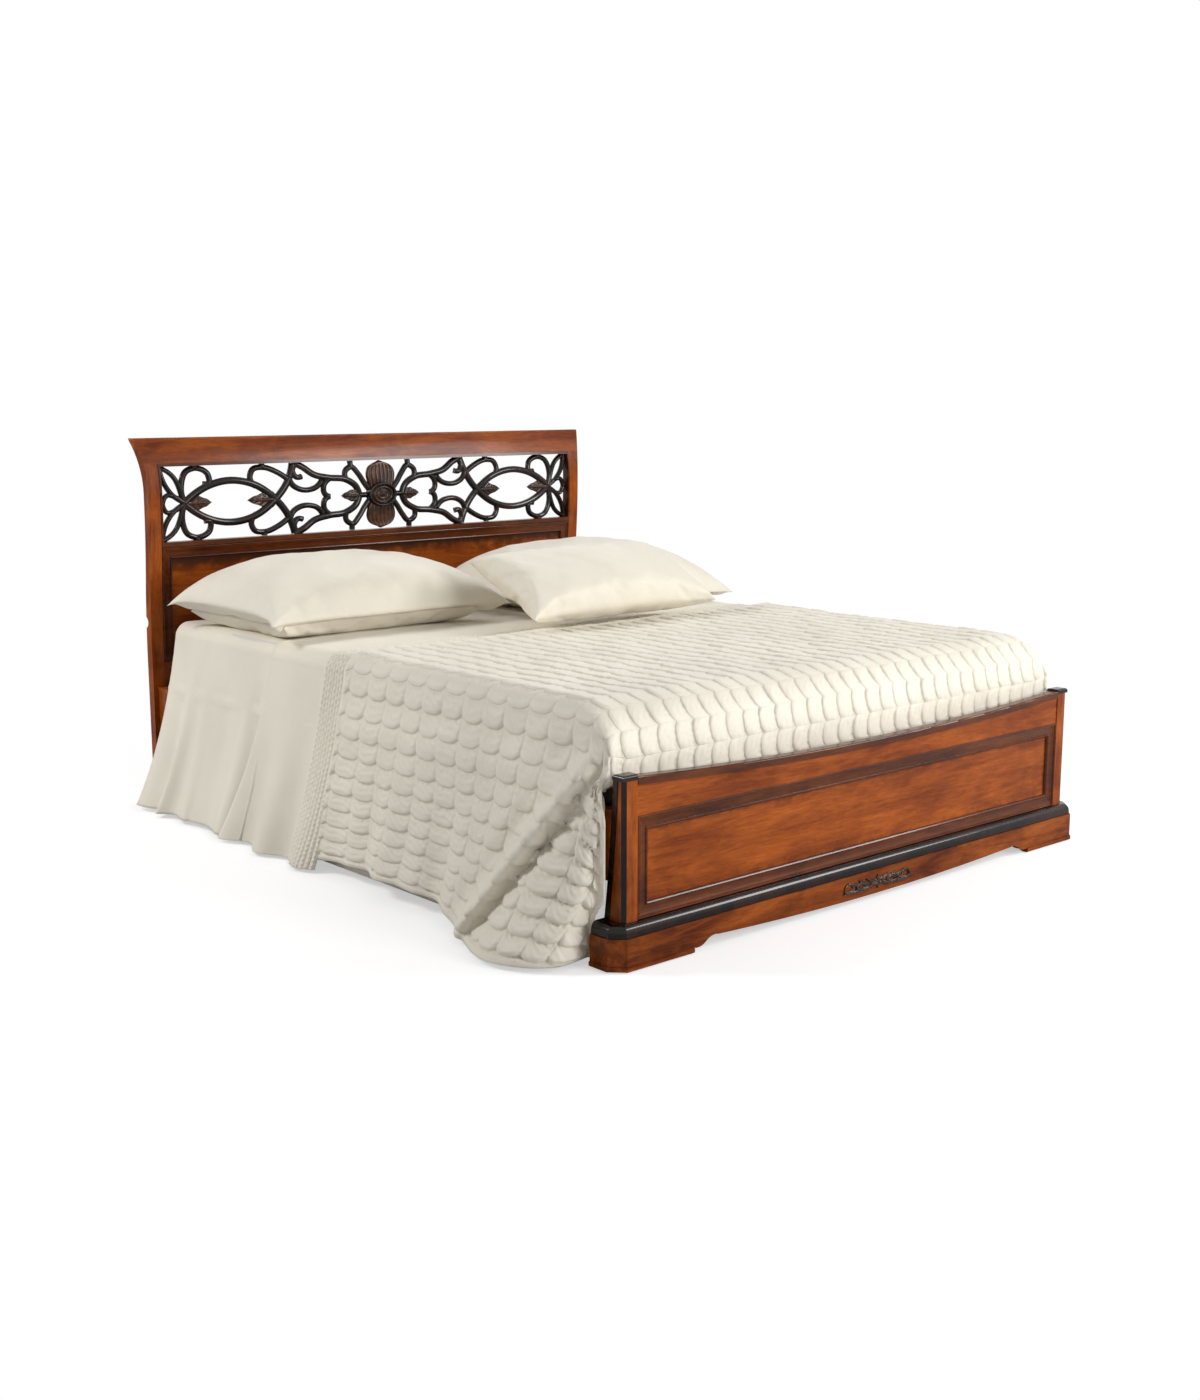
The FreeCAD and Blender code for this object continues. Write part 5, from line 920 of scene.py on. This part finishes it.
class BED_OT_quilt(bpy.types.Operator):
    """Quilt: rounded cells, corners that fall outside the posts, tucked in behind the footboard"""
    bl_idname = "bed.quilt"
    bl_label = "Quilt"

    def execute(self, context):
        radius = QUILT_CREST - QUILT_FRONT
        reach = TUCK_DROP + radius * math.pi / 2
        total = reach + QUILT_END - QUILT_CREST
        along = np.linspace(0, total, 310 // FINE)
        grid = cloth_grid(along, QUILT_LIFT, (180 // FINE, 16 // FINE, 136 // FINE), QUILT_FALL)
        x, y, z = self.drape(grid, radius, reach, total)
        x, y = self.folds(grid, x, y)
        x, y = self.beside_post(grid, x, y, z)
        grid_t, grid_s, grid_across, grid_down, grid_sign = grid
        points = np.stack([x * grid_sign, y, np.maximum(z, FLOOR_GAP)], axis=2)
        cell_s, cell_t = self.cells(grid, reach)
        relief = self.relief(grid, cell_s, cell_t, total)
        points = points + outward_normals(points) * relief[:, :, None]
        points[:, :, 2] = np.maximum(points[:, :, 2], FLOOR_GAP + 0.0005)
        piece = cloth_piece("scalloped_quilt", points, "quilt")
        flat_map(piece, "cells", -cell_s, cell_t)
        thicken(piece, QUILT_THICKNESS)
        place(piece, BED, "quilt_satin", "quilt")
        return {"FINISHED"}

    def drape(self, grid, radius, reach, total):
        """The quilt over the mattress and down to its hem; x is the distance from the middle plane."""
        grid_t, grid_s, grid_across, grid_down, grid_sign = grid
        turn = np.clip((grid_t - TUCK_DROP) / radius, 0, math.pi / 2)
        ahead = grid_t < reach
        top_y = np.where(ahead, FOOT_Y + QUILT_FRONT + radius * (1 - np.cos(turn)),
                         FOOT_Y + QUILT_CREST + grid_t - reach)
        top_drop = np.where(ahead, radius * (1 - np.sin(turn)) + np.maximum(TUCK_DROP - grid_t, 0), 0.0)
        stretch = QUILT_HEM[-1][0] / total
        hem = [smooth_through(grid_t * stretch, [(mark[0], mark[column]) for mark in QUILT_HEM])
               for column in (1, 2, 3)]
        hem_x = hem[0] + RIGHT_CORNER_MORE * (grid_sign > 0) * smooth_step(0.5, 0.2, grid_t)
        x, z = section(QUILT_LIFT, hem_x, hem[2], grid_across, grid_down)
        top_drop = top_drop * (1 - 0.45 * smooth_step(1.0, 2.0, grid_across))
        loose = smooth_step(0.0, 0.62, grid_down)
        y = (1 - loose) * top_y + loose * (FOOT_Y + hem[1])
        z = z - (1 - smooth_step(0.0, 0.75, grid_down)) * top_drop * (1 - 0.25 * grid_down)
        wave = 0.010 * np.sin(2 * math.pi * hem[1] / 0.33 + 0.6 * grid_sign)
        wave = wave + 0.007 * np.sin(2 * math.pi * hem[1] / 0.15 + 1.9 * grid_sign)
        return x + wave * grid_down ** 1.5 * smooth_step(0.30, 0.55, grid_t), y, z

    def folds(self, grid, x, y):
        """Long fold that runs from the corner to the hem, with a valley on each side."""
        grid_t, grid_s, grid_across, grid_down, grid_sign = grid
        middle = 4 * grid_down * (1 - grid_down)
        fold = FOLD_START + FOLD_SLANT * grid_down
        ridge = np.exp(-((grid_t - fold) / RIDGE_WIDTH) ** 2)
        valley = np.exp(-((grid_t - fold + VALLEY_PLACE) / VALLEY_WIDTH) ** 2)
        second = np.exp(-((grid_t - fold - SECOND_PLACE) / SECOND_WIDTH) ** 2)
        formed = smooth_step(0.0, 0.16, grid_down) * (1 - 0.6 * smooth_step(0.80, 1.0, grid_down))
        x = x + formed * (RIDGE_HEIGHT * ridge - VALLEY_DEPTH * valley) - middle * SECOND_DEPTH * second
        return x, y + formed * FOLD_SWAY * (valley - ridge)

    def beside_post(self, grid, x, y, z):
        """Keeps the drop outside the side rails, and lays its edge beside the post."""
        grid_t, grid_s, grid_across, grid_down, grid_sign = grid
        outside = RAIL_OUTER + QUILT_CLEAR
        near_post = smooth_step(0.13, 0.0, grid_t) * smooth_step(0.0, 0.12, grid_down)
        post_y = FOOT_Y + POST_Y + PLINTH_MORE * smooth_step(0.16, 0.10, z) + POST_SPREAD * grid_t
        x = x + (outside + 0.002 - x) * near_post
        y = y + (post_y - y) * near_post
        clear = 0.5 * (x + outside + np.sqrt((x - outside) ** 2 + CLEAR_SOFTNESS ** 2))
        low_down = smooth_step(RAIL_TOP + 0.10, RAIL_TOP + 0.02, z) * (grid_down > 0)
        return x + (clear - x) * low_down, y

    def cells(self, grid, reach):
        """Flat places counted in cells; at the corners the cells fan out round the post."""
        grid_t, grid_s, grid_across, grid_down, grid_sign = grid
        loose = smooth_step(0.0, 0.62, grid_down)
        around = np.clip((reach - grid_t) / reach, 0, 1) * 0.50
        far = grid_down * QUILT_FALL
        corner_t = np.where(grid_down > 0, reach - far * np.sin(around), grid_t)
        corner_s = np.abs(grid_s) - np.where(grid_down > 0, far * (1 - np.cos(around)), 0)
        cell_t = np.where(grid_t < reach, (1 - loose) * grid_t + loose * corner_t, grid_t)
        cell_t = np.where(cell_t < reach, (cell_t - reach) * FRONT_CELLS, cell_t - reach) / sizes().cell_length
        cell_s = np.where(grid_t < reach, (1 - loose) * grid_s + loose * corner_s * grid_sign, grid_s)
        return cell_s / sizes().cell_width, cell_t

    def relief(self, grid, cell_s, cell_t, total):
        """Height of the cells, the rolled hem and the small unevenness of the filling."""
        grid_t, grid_s, grid_across, grid_down, grid_sign = grid
        loose_corner = smooth_step(0.42, 0.20, grid_t) * smooth_step(0.05, 0.35, grid_down)
        level = (1 - 0.25 * (grid_down <= 0)) * (1 + 0.9 * loose_corner)
        puff = cell_puff(-cell_s, cell_t, sizes().cell_puff * level)
        hem_gap = np.minimum((1 - grid_down) * QUILT_FALL, np.minimum(grid_t, total - grid_t))
        beside = smooth_step(0.012, 0.055, grid_t + 0.1 * (grid_down <= 0))
        puff = puff * smooth_step(0.010, 0.026, hem_gap) * beside
        roll = HEM_ROLL * np.sqrt(np.clip(hem_gap / HEM_WIDTH, 0, 1)) * smooth_step(0.026, 0.014, hem_gap)
        sag = 0.0030 * ripple(grid_s * 6, grid_t * 6, 1.3) + 0.0012 * ripple(grid_s * 23, grid_t * 19, 4.1)
        return puff + roll + sag * beside


SHEET_FALL = 0.55
# Bottom sheet: where it starts, where its folds start, where it ends, and the pitch of the folds
SHEET_LIFT, SHEET_THICKNESS = 0.0035, 0.0022
SHEET_START, SHEET_FOLDS, SHEET_END, SHEET_PITCH = 0.17, 1.46, 2.066, 0.150
# Turned-down sheet: start, end and width of the tucked band
TURNED_LIFT, TURNED_THICKNESS = 0.0075, 0.0024
TURNED_START, TURNED_END, TURNED_SLANT, TURNED_WAVE = 1.116, 1.502, 0.075, 0.185
BAND, TUCK_HEIGHT, GATHER_PITCH = 0.118, 0.0042, 0.0165


class BED_OT_sheets(bpy.types.Operator):
    """Bottom sheet in upright folds, and the top sheet turned down with its tucked band"""
    bl_idname = "bed.sheets"
    bl_label = "Sheets"

    def execute(self, context):
        self.bottom_sheet()
        self.turned_down()
        return {"FINISHED"}

    def bottom_sheet(self):
        """Bottom sheet, with loose folds on its drop near the headboard."""
        start, end, folds = FOOT_Y + SHEET_START, FOOT_Y + SHEET_END, FOOT_Y + SHEET_FOLDS
        along = np.concatenate([np.linspace(start, folds, 40, endpoint=False), np.linspace(folds, end, 120)])
        grid_y, grid_s, grid_across, grid_down, grid_sign = cloth_grid(along, SHEET_LIFT, (60, 8, 48), SHEET_FALL)
        free = smooth_step(folds, folds + 0.08, grid_y)
        phase = 2 * math.pi * (grid_y - folds) / SHEET_PITCH
        wave = np.sin(phase + 1.3 * np.sin(phase * 0.41 + grid_sign)) + 0.30 * np.sin(phase * 1.7 + 1.2 * grid_sign)
        hem_x = 0.872 + free * (0.062 + 0.022 * smooth_step(end - 0.3, end, grid_y))
        x, z = section(SHEET_LIFT, hem_x, np.full(grid_y.shape, 0.014), grid_across, grid_down)
        depth = 0.012 + 0.006 * np.sin(phase * 0.29 + 0.8)
        x = x + free * depth * wave * grid_down ** 1.1
        x = np.where((grid_down > 0) & (z < RAIL_TOP + 0.02), np.maximum(x, RAIL_OUTER + RAIL_GAP), x)
        sway = free * 0.012 * np.cos(phase) * grid_down ** 1.5 - 0.010 * free * grid_down
        uneven = 0.0012 * ripple(grid_s * 9, grid_y * 9, 0.7) * (grid_down <= 0)
        piece = cloth_piece("bottom_sheet", np.stack([x * grid_sign, grid_y + sway, z + uneven], axis=2), "sheet")
        thicken(piece, SHEET_THICKNESS)
        place(piece, BED, "sheet_satin", "under_sheet")

    def turned_down(self):
        """Turned-down sheet, with stitched tucks along its edge."""
        deep = TURNED_END - TURNED_START
        along = np.concatenate([np.linspace(0, BAND, 96 // FINE, endpoint=False), np.linspace(BAND, deep, 34)])
        grid_t, grid_s, grid_across, grid_down, grid_sign = cloth_grid(along, TURNED_LIFT, (200, 20, 150), SHEET_FALL)
        from_start = grid_t + TURNED_SLANT * grid_down * grid_t / deep
        phase = 2 * math.pi * from_start / TURNED_WAVE
        hem_x = 0.938 + 0.010 * np.sin(phase + grid_sign)
        x, z = section(TURNED_LIFT, hem_x, np.full(grid_t.shape, 0.010), grid_across, grid_down)
        x = x + 0.010 * np.sin(phase * 0.9 + 1.2 + grid_sign) * grid_down ** 1.5
        points = np.stack([x * grid_sign, FOOT_Y + TURNED_START + from_start, z], axis=2)
        pitch = sizes().tuck_pitch
        inside = smooth_step(0.0, 0.006, grid_t) * (1 - smooth_step(BAND - 0.006, BAND, grid_t))
        tuck = np.abs(np.sin(math.pi * grid_t / pitch)) ** 0.9
        gather = np.sin(2 * math.pi * grid_s / GATHER_PITCH + 2.2 * np.sin(math.pi * grid_t / pitch))
        relief = inside * TUCK_HEIGHT * tuck * (0.72 + 0.28 * gather) + 0.0011 * ripple(grid_s * 8, grid_t * 8, 2.2)
        piece = cloth_piece("turned_down_sheet", points + outward_normals(points) * relief[:, :, None], "sheet")
        thicken(piece, TURNED_THICKNESS)
        place(piece, BED, "sheet_satin", "sheet_turndown")


MATTRESS_LEVELS, MATTRESS_TURNS, MATTRESS_CORNER_POWER, MATTRESS_INSET = 22, 160, 0.12, 0.036


class BED_OT_mattress(bpy.types.Operator):
    """Mattress with rounded edges and slightly swollen sides"""
    bl_idname = "bed.mattress"
    bl_label = "Mattress"

    def execute(self, context):
        middle = (MATTRESS_LOW + MATTRESS_HIGH) / 2
        half = (MATTRESS_HIGH - MATTRESS_LOW) / 2
        rows = []
        for level in range(MATTRESS_LEVELS + 1):
            lift = math.pi * (level / MATTRESS_LEVELS) - math.pi / 2
            z_share = math.sin(lift)
            inset = MATTRESS_INSET * (1 - math.cos(lift) ** 0.35) if abs(z_share) > 0.55 else 0.0
            inset = inset + 0.004 - 0.004 * math.cos(lift)
            row = []
            for turn in range(MATTRESS_TURNS):
                angle = 2 * math.pi * turn / MATTRESS_TURNS
                c, s = math.cos(angle), math.sin(angle)
                x = middle.x + (half.x - inset) * math.copysign(abs(c) ** MATTRESS_CORNER_POWER, c)
                y = middle.y + (half.y - inset) * math.copysign(abs(s) ** MATTRESS_CORNER_POWER, s)
                row.append((x, y, middle.z + half.z * z_share))
            rows.append(row)
        points, faces = [], []
        add_tube(points, faces, np.array(rows))
        piece = mesh_piece("mattress_core", points, faces, [MATERIALS["ticking"]])
        place(piece, BED, "ticking", "mattress")
        return {"FINISHED"}


PILLOW_COLUMNS, PILLOW_ROWS = 76, 56
# Filling: frames simulated, pressure, slack of the case and the most that a point may move
SWELL_FRAMES, SWELL_PRESSURE, SWELL_SLACK, SWELL_MOST = 20, 3.0, 0.035, 0.020
# Pillows: share of the height above the seam, droop of the ends, drop of the corners, seed, near edge's drop
LOWER_PILLOWS = {"left": (0.45, 0.022, 0.0, 1.0, 0.0), "right": (0.45, 0.022, 0.0, 4.0, 0.0)}
UPPER_PILLOWS = {"left": (0.62 * 0.75, 0.062, 0.034, 2.2, 0.080), "right": (0.62 * 1.06, 0.062, 0.034, 5.2, 0.080)}
FRONT_LEAN, FRONT_THICKNESS, FRONT_SEED = math.radians(25), 0.128, 7.7
FRONT_SHORTER, FRONT_SHIFT = 0.055, (0.030, -0.012, -0.012)


def pillow_points(size, width, above, below, droop, corner, seed, near=0.0):
    """Top and bottom grids of a stuffed pillow about the origin, slack at its seams and corners."""
    a = np.linspace(-1, 1, PILLOW_COLUMNS)
    b = np.linspace(-1, 1, PILLOW_ROWS)
    u = np.sign(a) * (1 - (1 - np.abs(a)) ** 1.25)
    v = np.sign(b) * (1 - (1 - np.abs(b)) ** 1.25)
    grid_u, grid_v = np.meshgrid(u, v, indexing="ij")
    x = size / 2 * grid_u * (1 - 0.050 * (1 - grid_v ** 2) * np.abs(grid_u) ** 5)
    y = width / 2 * grid_v * (1 - 0.070 * (1 - grid_u ** 2) * np.abs(grid_v) ** 5)
    full = (np.clip(1 - np.abs(grid_u) ** 2.5, 0, 1) * np.clip(1 - np.abs(grid_v) ** 2.3, 0, 1)) ** 0.58
    crease = ripple(x * 11, y * 11, seed) * 0.6 + ripple(x * 25, y * 21, seed + 2) * 0.3
    relief = 0.007 * crease * np.clip(full, 0, 1) ** 0.6
    sink = -droop * np.abs(grid_u) ** 3 - corner * (np.abs(grid_u) * np.abs(grid_v)) ** 4
    sink = sink - near * np.clip(-grid_v, 0, 1) ** 3 * (1 - np.abs(grid_u) ** 3)
    return (np.stack([x, y, sink + above * full + relief], axis=2),
            np.stack([x, y, sink - below * full + 0.4 * relief], axis=2))


def swell(piece):
    """Fills the sewn case by cloth simulation, keeps the puckers that form and caps each point's move."""
    count = len(piece.data.vertices)
    before = np.empty(count * 3)
    piece.data.vertices.foreach_get("co", before)
    filled = piece.modifiers.new("Filling", "CLOTH")
    settings = filled.settings
    settings.quality = 6
    settings.mass = 0.15
    settings.tension_stiffness = settings.compression_stiffness = 12
    settings.shear_stiffness = 4
    settings.bending_stiffness = 0.35
    settings.air_damping = 4
    settings.use_pressure = True
    settings.uniform_pressure_force = SWELL_PRESSURE
    settings.shrink_min = -SWELL_SLACK
    settings.effector_weights.gravity = 0
    filled.collision_settings.use_collision = False
    filled.point_cache.frame_start, filled.point_cache.frame_end = 1, SWELL_FRAMES
    for moment in range(1, SWELL_FRAMES + 1):
        bpy.context.scene.frame_set(moment)
    apply_modifiers(piece)
    bpy.context.scene.frame_set(1)
    after = np.empty(count * 3)
    piece.data.vertices.foreach_get("co", after)
    move = (after - before).reshape(-1, 3)
    far = np.maximum(np.linalg.norm(move, axis=1, keepdims=True), 1e-9)
    move *= SWELL_MOST * np.tanh(far / SWELL_MOST) / far
    piece.data.vertices.foreach_set("co", (before + move.reshape(-1)))
    piece.data.update()


def soften(piece):
    """One subdivision of the finished case."""
    piece.modifiers.new("Smooth cloth", "SUBSURF").levels = 1
    apply_modifiers(piece)


def close_pillow(name, top, bottom):
    """One mesh from the two grids, joined at the seam all round."""
    columns, rows = top.shape[:2]
    points = list(top.reshape(-1, 3))
    upper = np.arange(columns * rows).reshape(columns, rows)
    lower = upper.copy()
    for i in range(1, columns - 1):
        for j in range(1, rows - 1):
            lower[i, j] = len(points)
            points.append(bottom[i, j])
    faces = []
    for i in range(columns - 1):
        for j in range(rows - 1):
            faces.append((upper[i, j], upper[i + 1, j], upper[i + 1, j + 1], upper[i, j + 1]))
            faces.append((lower[i, j], lower[i, j + 1], lower[i + 1, j + 1], lower[i + 1, j]))
    return mesh_piece(name, points, [tuple(int(v) for v in face) for face in faces], [MATERIALS["pillow"]])


def rest_on(piece, support, gap, depth):
    """Lifts the piece's points that would sink into the support, down to this depth below its top."""
    tree = BVHTree.FromObject(support, bpy.context.evaluated_depsgraph_get())
    above, down = 2.0, Vector((0, 0, -1))
    for vertex in piece.data.vertices:
        spot = vertex.co
        hit = tree.ray_cast(Vector((spot.x, spot.y, above)), down)[0]
        if hit is not None and hit.z - depth < spot.z < hit.z + gap:
            spot.z = hit.z + gap


class BED_OT_pillows(bpy.types.Operator):
    """Two pillows on each side and one that leans in front of the right pair"""
    bl_idname = "bed.pillows"
    bl_label = "Pillows"

    def execute(self, context):
        bpy.context.view_layer.update()
        made = {}
        for side in ("left", "right"):
            made["lower_" + side] = self.pillow("lower_" + side, *LOWER_PILLOWS[side])
            made["upper_" + side] = self.pillow("upper_" + side, *UPPER_PILLOWS[side])
            rest_on(made["upper_" + side], made["lower_" + side], 0.002, 0.09)
        made["front"] = self.front_pillow()
        for key, piece in made.items():
            soften(piece)
            place(piece, "pillow_" + key + "_body", "pillow_satin", "pillow_" + key)
        return {"FINISHED"}

    def fill(self, name, top, bottom, floor):
        """Closes and fills one case, and keeps it above the floor height given."""
        piece = close_pillow(name, top, bottom)
        swell(piece)
        for vertex in piece.data.vertices:
            vertex.co.z = max(vertex.co.z, floor)
        return piece

    def pillow(self, key, share_above, droop, corner, seed, near):
        """A pillow that lies flat in its CAD solid's box."""
        low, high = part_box("pillow_" + key)
        size, middle = high - low, (low + high) / 2
        above, below = size.z * share_above, size.z * (1 - share_above)
        top, bottom = pillow_points(size.x, size.y, 0.84 * above - 0.004, 0.90 * below - 0.002, droop, corner,
                                    seed, near)
        shift = np.array([middle.x, middle.y, low.z + below])
        return self.fill("pillow_" + key + "_stuffed", top + shift, bottom + shift, low.z + 0.0005 - corner)

    def front_pillow(self):
        """The pillow that leans on the right pair."""
        low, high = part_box("pillow_front")
        size, middle = high - low, (low + high) / 2
        c, s = math.cos(FRONT_LEAN), math.sin(FRONT_LEAN)
        width = (size.y - FRONT_THICKNESS * s * 0.9) / c
        top, bottom = pillow_points(size.x - FRONT_SHORTER, width, FRONT_THICKNESS * 0.50, FRONT_THICKNESS * 0.42,
                                    0.0, 0.0, FRONT_SEED)
        turn = np.array([[1, 0, 0], [0, c, -s], [0, s, c]])
        shift = np.array(middle) + np.array(FRONT_SHIFT)
        return self.fill("pillow_front_stuffed", top @ turn.T + shift, bottom @ turn.T + shift, low.z)


# Floor: own tone, lift that the camera sees, and the distances between which it turns white
FLOOR_TONE, FLOOR_LIFT, FLOOR_NEAR, FLOOR_FAR, FLOOR_REACH = 0.66, 0.50, 1.15, 2.1, 14.0
# Lamps: name, place, size in metres and power in watts
LAMPS = (
    ("key", (3.6, -3.6, 3.2), 1.8, 152.0),
    ("front", (0.8, -5.4, 1.9), 2.0, 130.0),
    ("back", (2.4, 2.6, 4.2), 2.0, 40.0),
    ("left", (-3.2, 2.0, 2.9), 0.9, 84.0),
)
LAMP_AIM = (0, 0, 0.45)
WORLD_LIGHT = 0.26
# Camera solved from the photograph: its place, turn, tilt and focal length as a share of the image height
CAMERA_PLACE = (-3.2245, FOOT_Y - 2.5964, 1.2454)
CAMERA_YAW = 0.7253
CAMERA_PITCH = 0.1803
CAMERA_FOCAL_SHARE = 1.2176
SENSOR_WIDTH = 36.0


def shining(tree, kind, strength):
    """A white emission or background; returns its output."""
    node = tree.nodes.new(kind)
    node.inputs["Color"].default_value = (1, 1, 1, 1)
    node.inputs["Strength"].default_value = strength
    return node.outputs[0]


def mixed_shaders(tree, factor, first, second):
    """Mix of two shaders; returns its output."""
    node = tree.nodes.new("ShaderNodeMixShader")
    for number, value in enumerate((factor, first, second)):
        tree.links.new(value, node.inputs[number])
    return node.outputs[0]


class BED_OT_stage(bpy.types.Operator):
    """Pale floor, soft studio light, white background and the camera"""
    bl_idname = "bed.stage"
    bl_label = "Stage"

    def execute(self, context):
        self.floor()
        self.lamps()
        self.world()
        self.camera()
        context.scene.view_settings.view_transform = "Standard"
        return {"FINISHED"}

    def floor(self):
        """Floor that catches the bed's shadow and turns white further off."""
        r = FLOOR_REACH
        floor = mesh_piece("studio_floor", [(-r, -r, 0), (r, -r, 0), (r, r, 0), (-r, r, 0)], [(0, 1, 2, 3)], [])
        material, tree, shader, position = new_material("Pale studio floor")
        set_inputs(shader, Base_Color=(FLOOR_TONE, FLOOR_TONE, FLOOR_TONE, 1), Roughness=0.7,
                   Specular_IOR_Level=0.1)
        near = tree.nodes.new("ShaderNodeAddShader")
        tree.links.new(shader.outputs[0], near.inputs[0])
        tree.links.new(shining(tree, "ShaderNodeEmission", FLOOR_LIFT), near.inputs[1])
        away = vector_node(tree, "LENGTH", vector_node(tree, "MULTIPLY", position, (1.0, 0.92, 1.0)))
        share = ranged(tree, away, FLOOR_NEAR, FLOOR_FAR)
        seen = mixed_shaders(tree, share, near.outputs[0], shining(tree, "ShaderNodeEmission", 1.0))
        camera_ray = tree.nodes.new("ShaderNodeLightPath").outputs["Is Camera Ray"]
        chosen = mixed_shaders(tree, camera_ray, shader.outputs[0], seen)
        tree.links.new(chosen, tree.nodes["Material Output"].inputs["Surface"])
        floor.data.materials.append(material)

    def lamps(self):
        """Soft square lamps, all aimed at the bed."""
        aim = Vector(LAMP_AIM)
        for name, spot, size, power in LAMPS:
            data = bpy.data.lights.new(name, "AREA")
            data.shape = "SQUARE"
            data.size = size
            data.energy = power
            lamp = bpy.data.objects.new(name, data)
            bpy.context.scene.collection.objects.link(lamp)
            lamp.location = spot
            lamp.rotation_mode = "QUATERNION"
            lamp.rotation_quaternion = (aim - Vector(spot)).to_track_quat("-Z", "Y")

    def world(self):
        """White to the camera and in reflections, and a dim fill for everything else."""
        world = bpy.data.worlds.new("White studio")
        bpy.context.scene.world = world
        world.use_nodes = True
        tree = world.node_tree
        tree.nodes.clear()
        path = tree.nodes.new("ShaderNodeLightPath").outputs
        seen = math_node(tree, "MAXIMUM", path["Is Camera Ray"], path["Is Glossy Ray"])
        dim = shining(tree, "ShaderNodeBackground", WORLD_LIGHT)
        bright = shining(tree, "ShaderNodeBackground", 1.0)
        output = tree.nodes.new("ShaderNodeOutputWorld")
        tree.links.new(mixed_shaders(tree, seen, dim, bright), output.inputs["Surface"])

    def camera(self):
        """The camera, where the photograph was taken from."""
        data = bpy.data.cameras.new("photo view")
        camera = bpy.data.objects.new("photo view", data)
        bpy.context.scene.collection.objects.link(camera)
        data.sensor_width = SENSOR_WIDTH
        data.lens = SENSOR_WIDTH * CAMERA_FOCAL_SHARE
        camera.location = CAMERA_PLACE
        camera.rotation_mode = "XYZ"
        camera.rotation_euler = (math.pi / 2 - CAMERA_PITCH, 0, -CAMERA_YAW)
        data.clip_end = 60
        bpy.context.scene.camera = camera


class BED_PT_panel(bpy.types.Panel):
    """Lists the bed's building steps"""
    bl_idname = "BED_PT_panel"
    bl_label = "Double Bed"
    bl_space_type = "VIEW_3D"
    bl_region_type = "UI"
    bl_category = "Bed"

    def draw(self, context):
        layout = self.layout
        for group in (context.scene.bed_finishes, context.scene.bed_sizes):
            for name in group.__annotations__:
                layout.prop(group, name)
        for step in STEPS:
            layout.operator(step.bl_idname)


STEPS = (BED_OT_finishes, BED_OT_stage, BED_OT_woodwork, BED_OT_fretwork, BED_OT_plinth_spray, BED_OT_mattress,
         BED_OT_sheets, BED_OT_quilt, BED_OT_pillows)
CLASSES = (BedFinishes, BedSizes) + STEPS + (BED_PT_panel,)


def register():
    for each in CLASSES:
        bpy.utils.register_class(each)
    bpy.types.Scene.bed_finishes = bpy.props.PointerProperty(type=BedFinishes)
    bpy.types.Scene.bed_sizes = bpy.props.PointerProperty(type=BedSizes)


def unregister():
    del bpy.types.Scene.bed_sizes
    del bpy.types.Scene.bed_finishes
    for each in reversed(CLASSES):
        bpy.utils.unregister_class(each)


def main():
    register()
    bpy.ops.bed.finishes()
    bpy.ops.bed.stage()
    bpy.ops.bed.woodwork()
    bpy.ops.bed.fretwork()
    bpy.ops.bed.plinth_spray()
    bpy.ops.bed.mattress()
    bpy.ops.bed.sheets()
    bpy.ops.bed.quilt()
    bpy.ops.bed.pillows()
    bpy.context.view_layer.update()


if __name__ == "__main__":
    main()
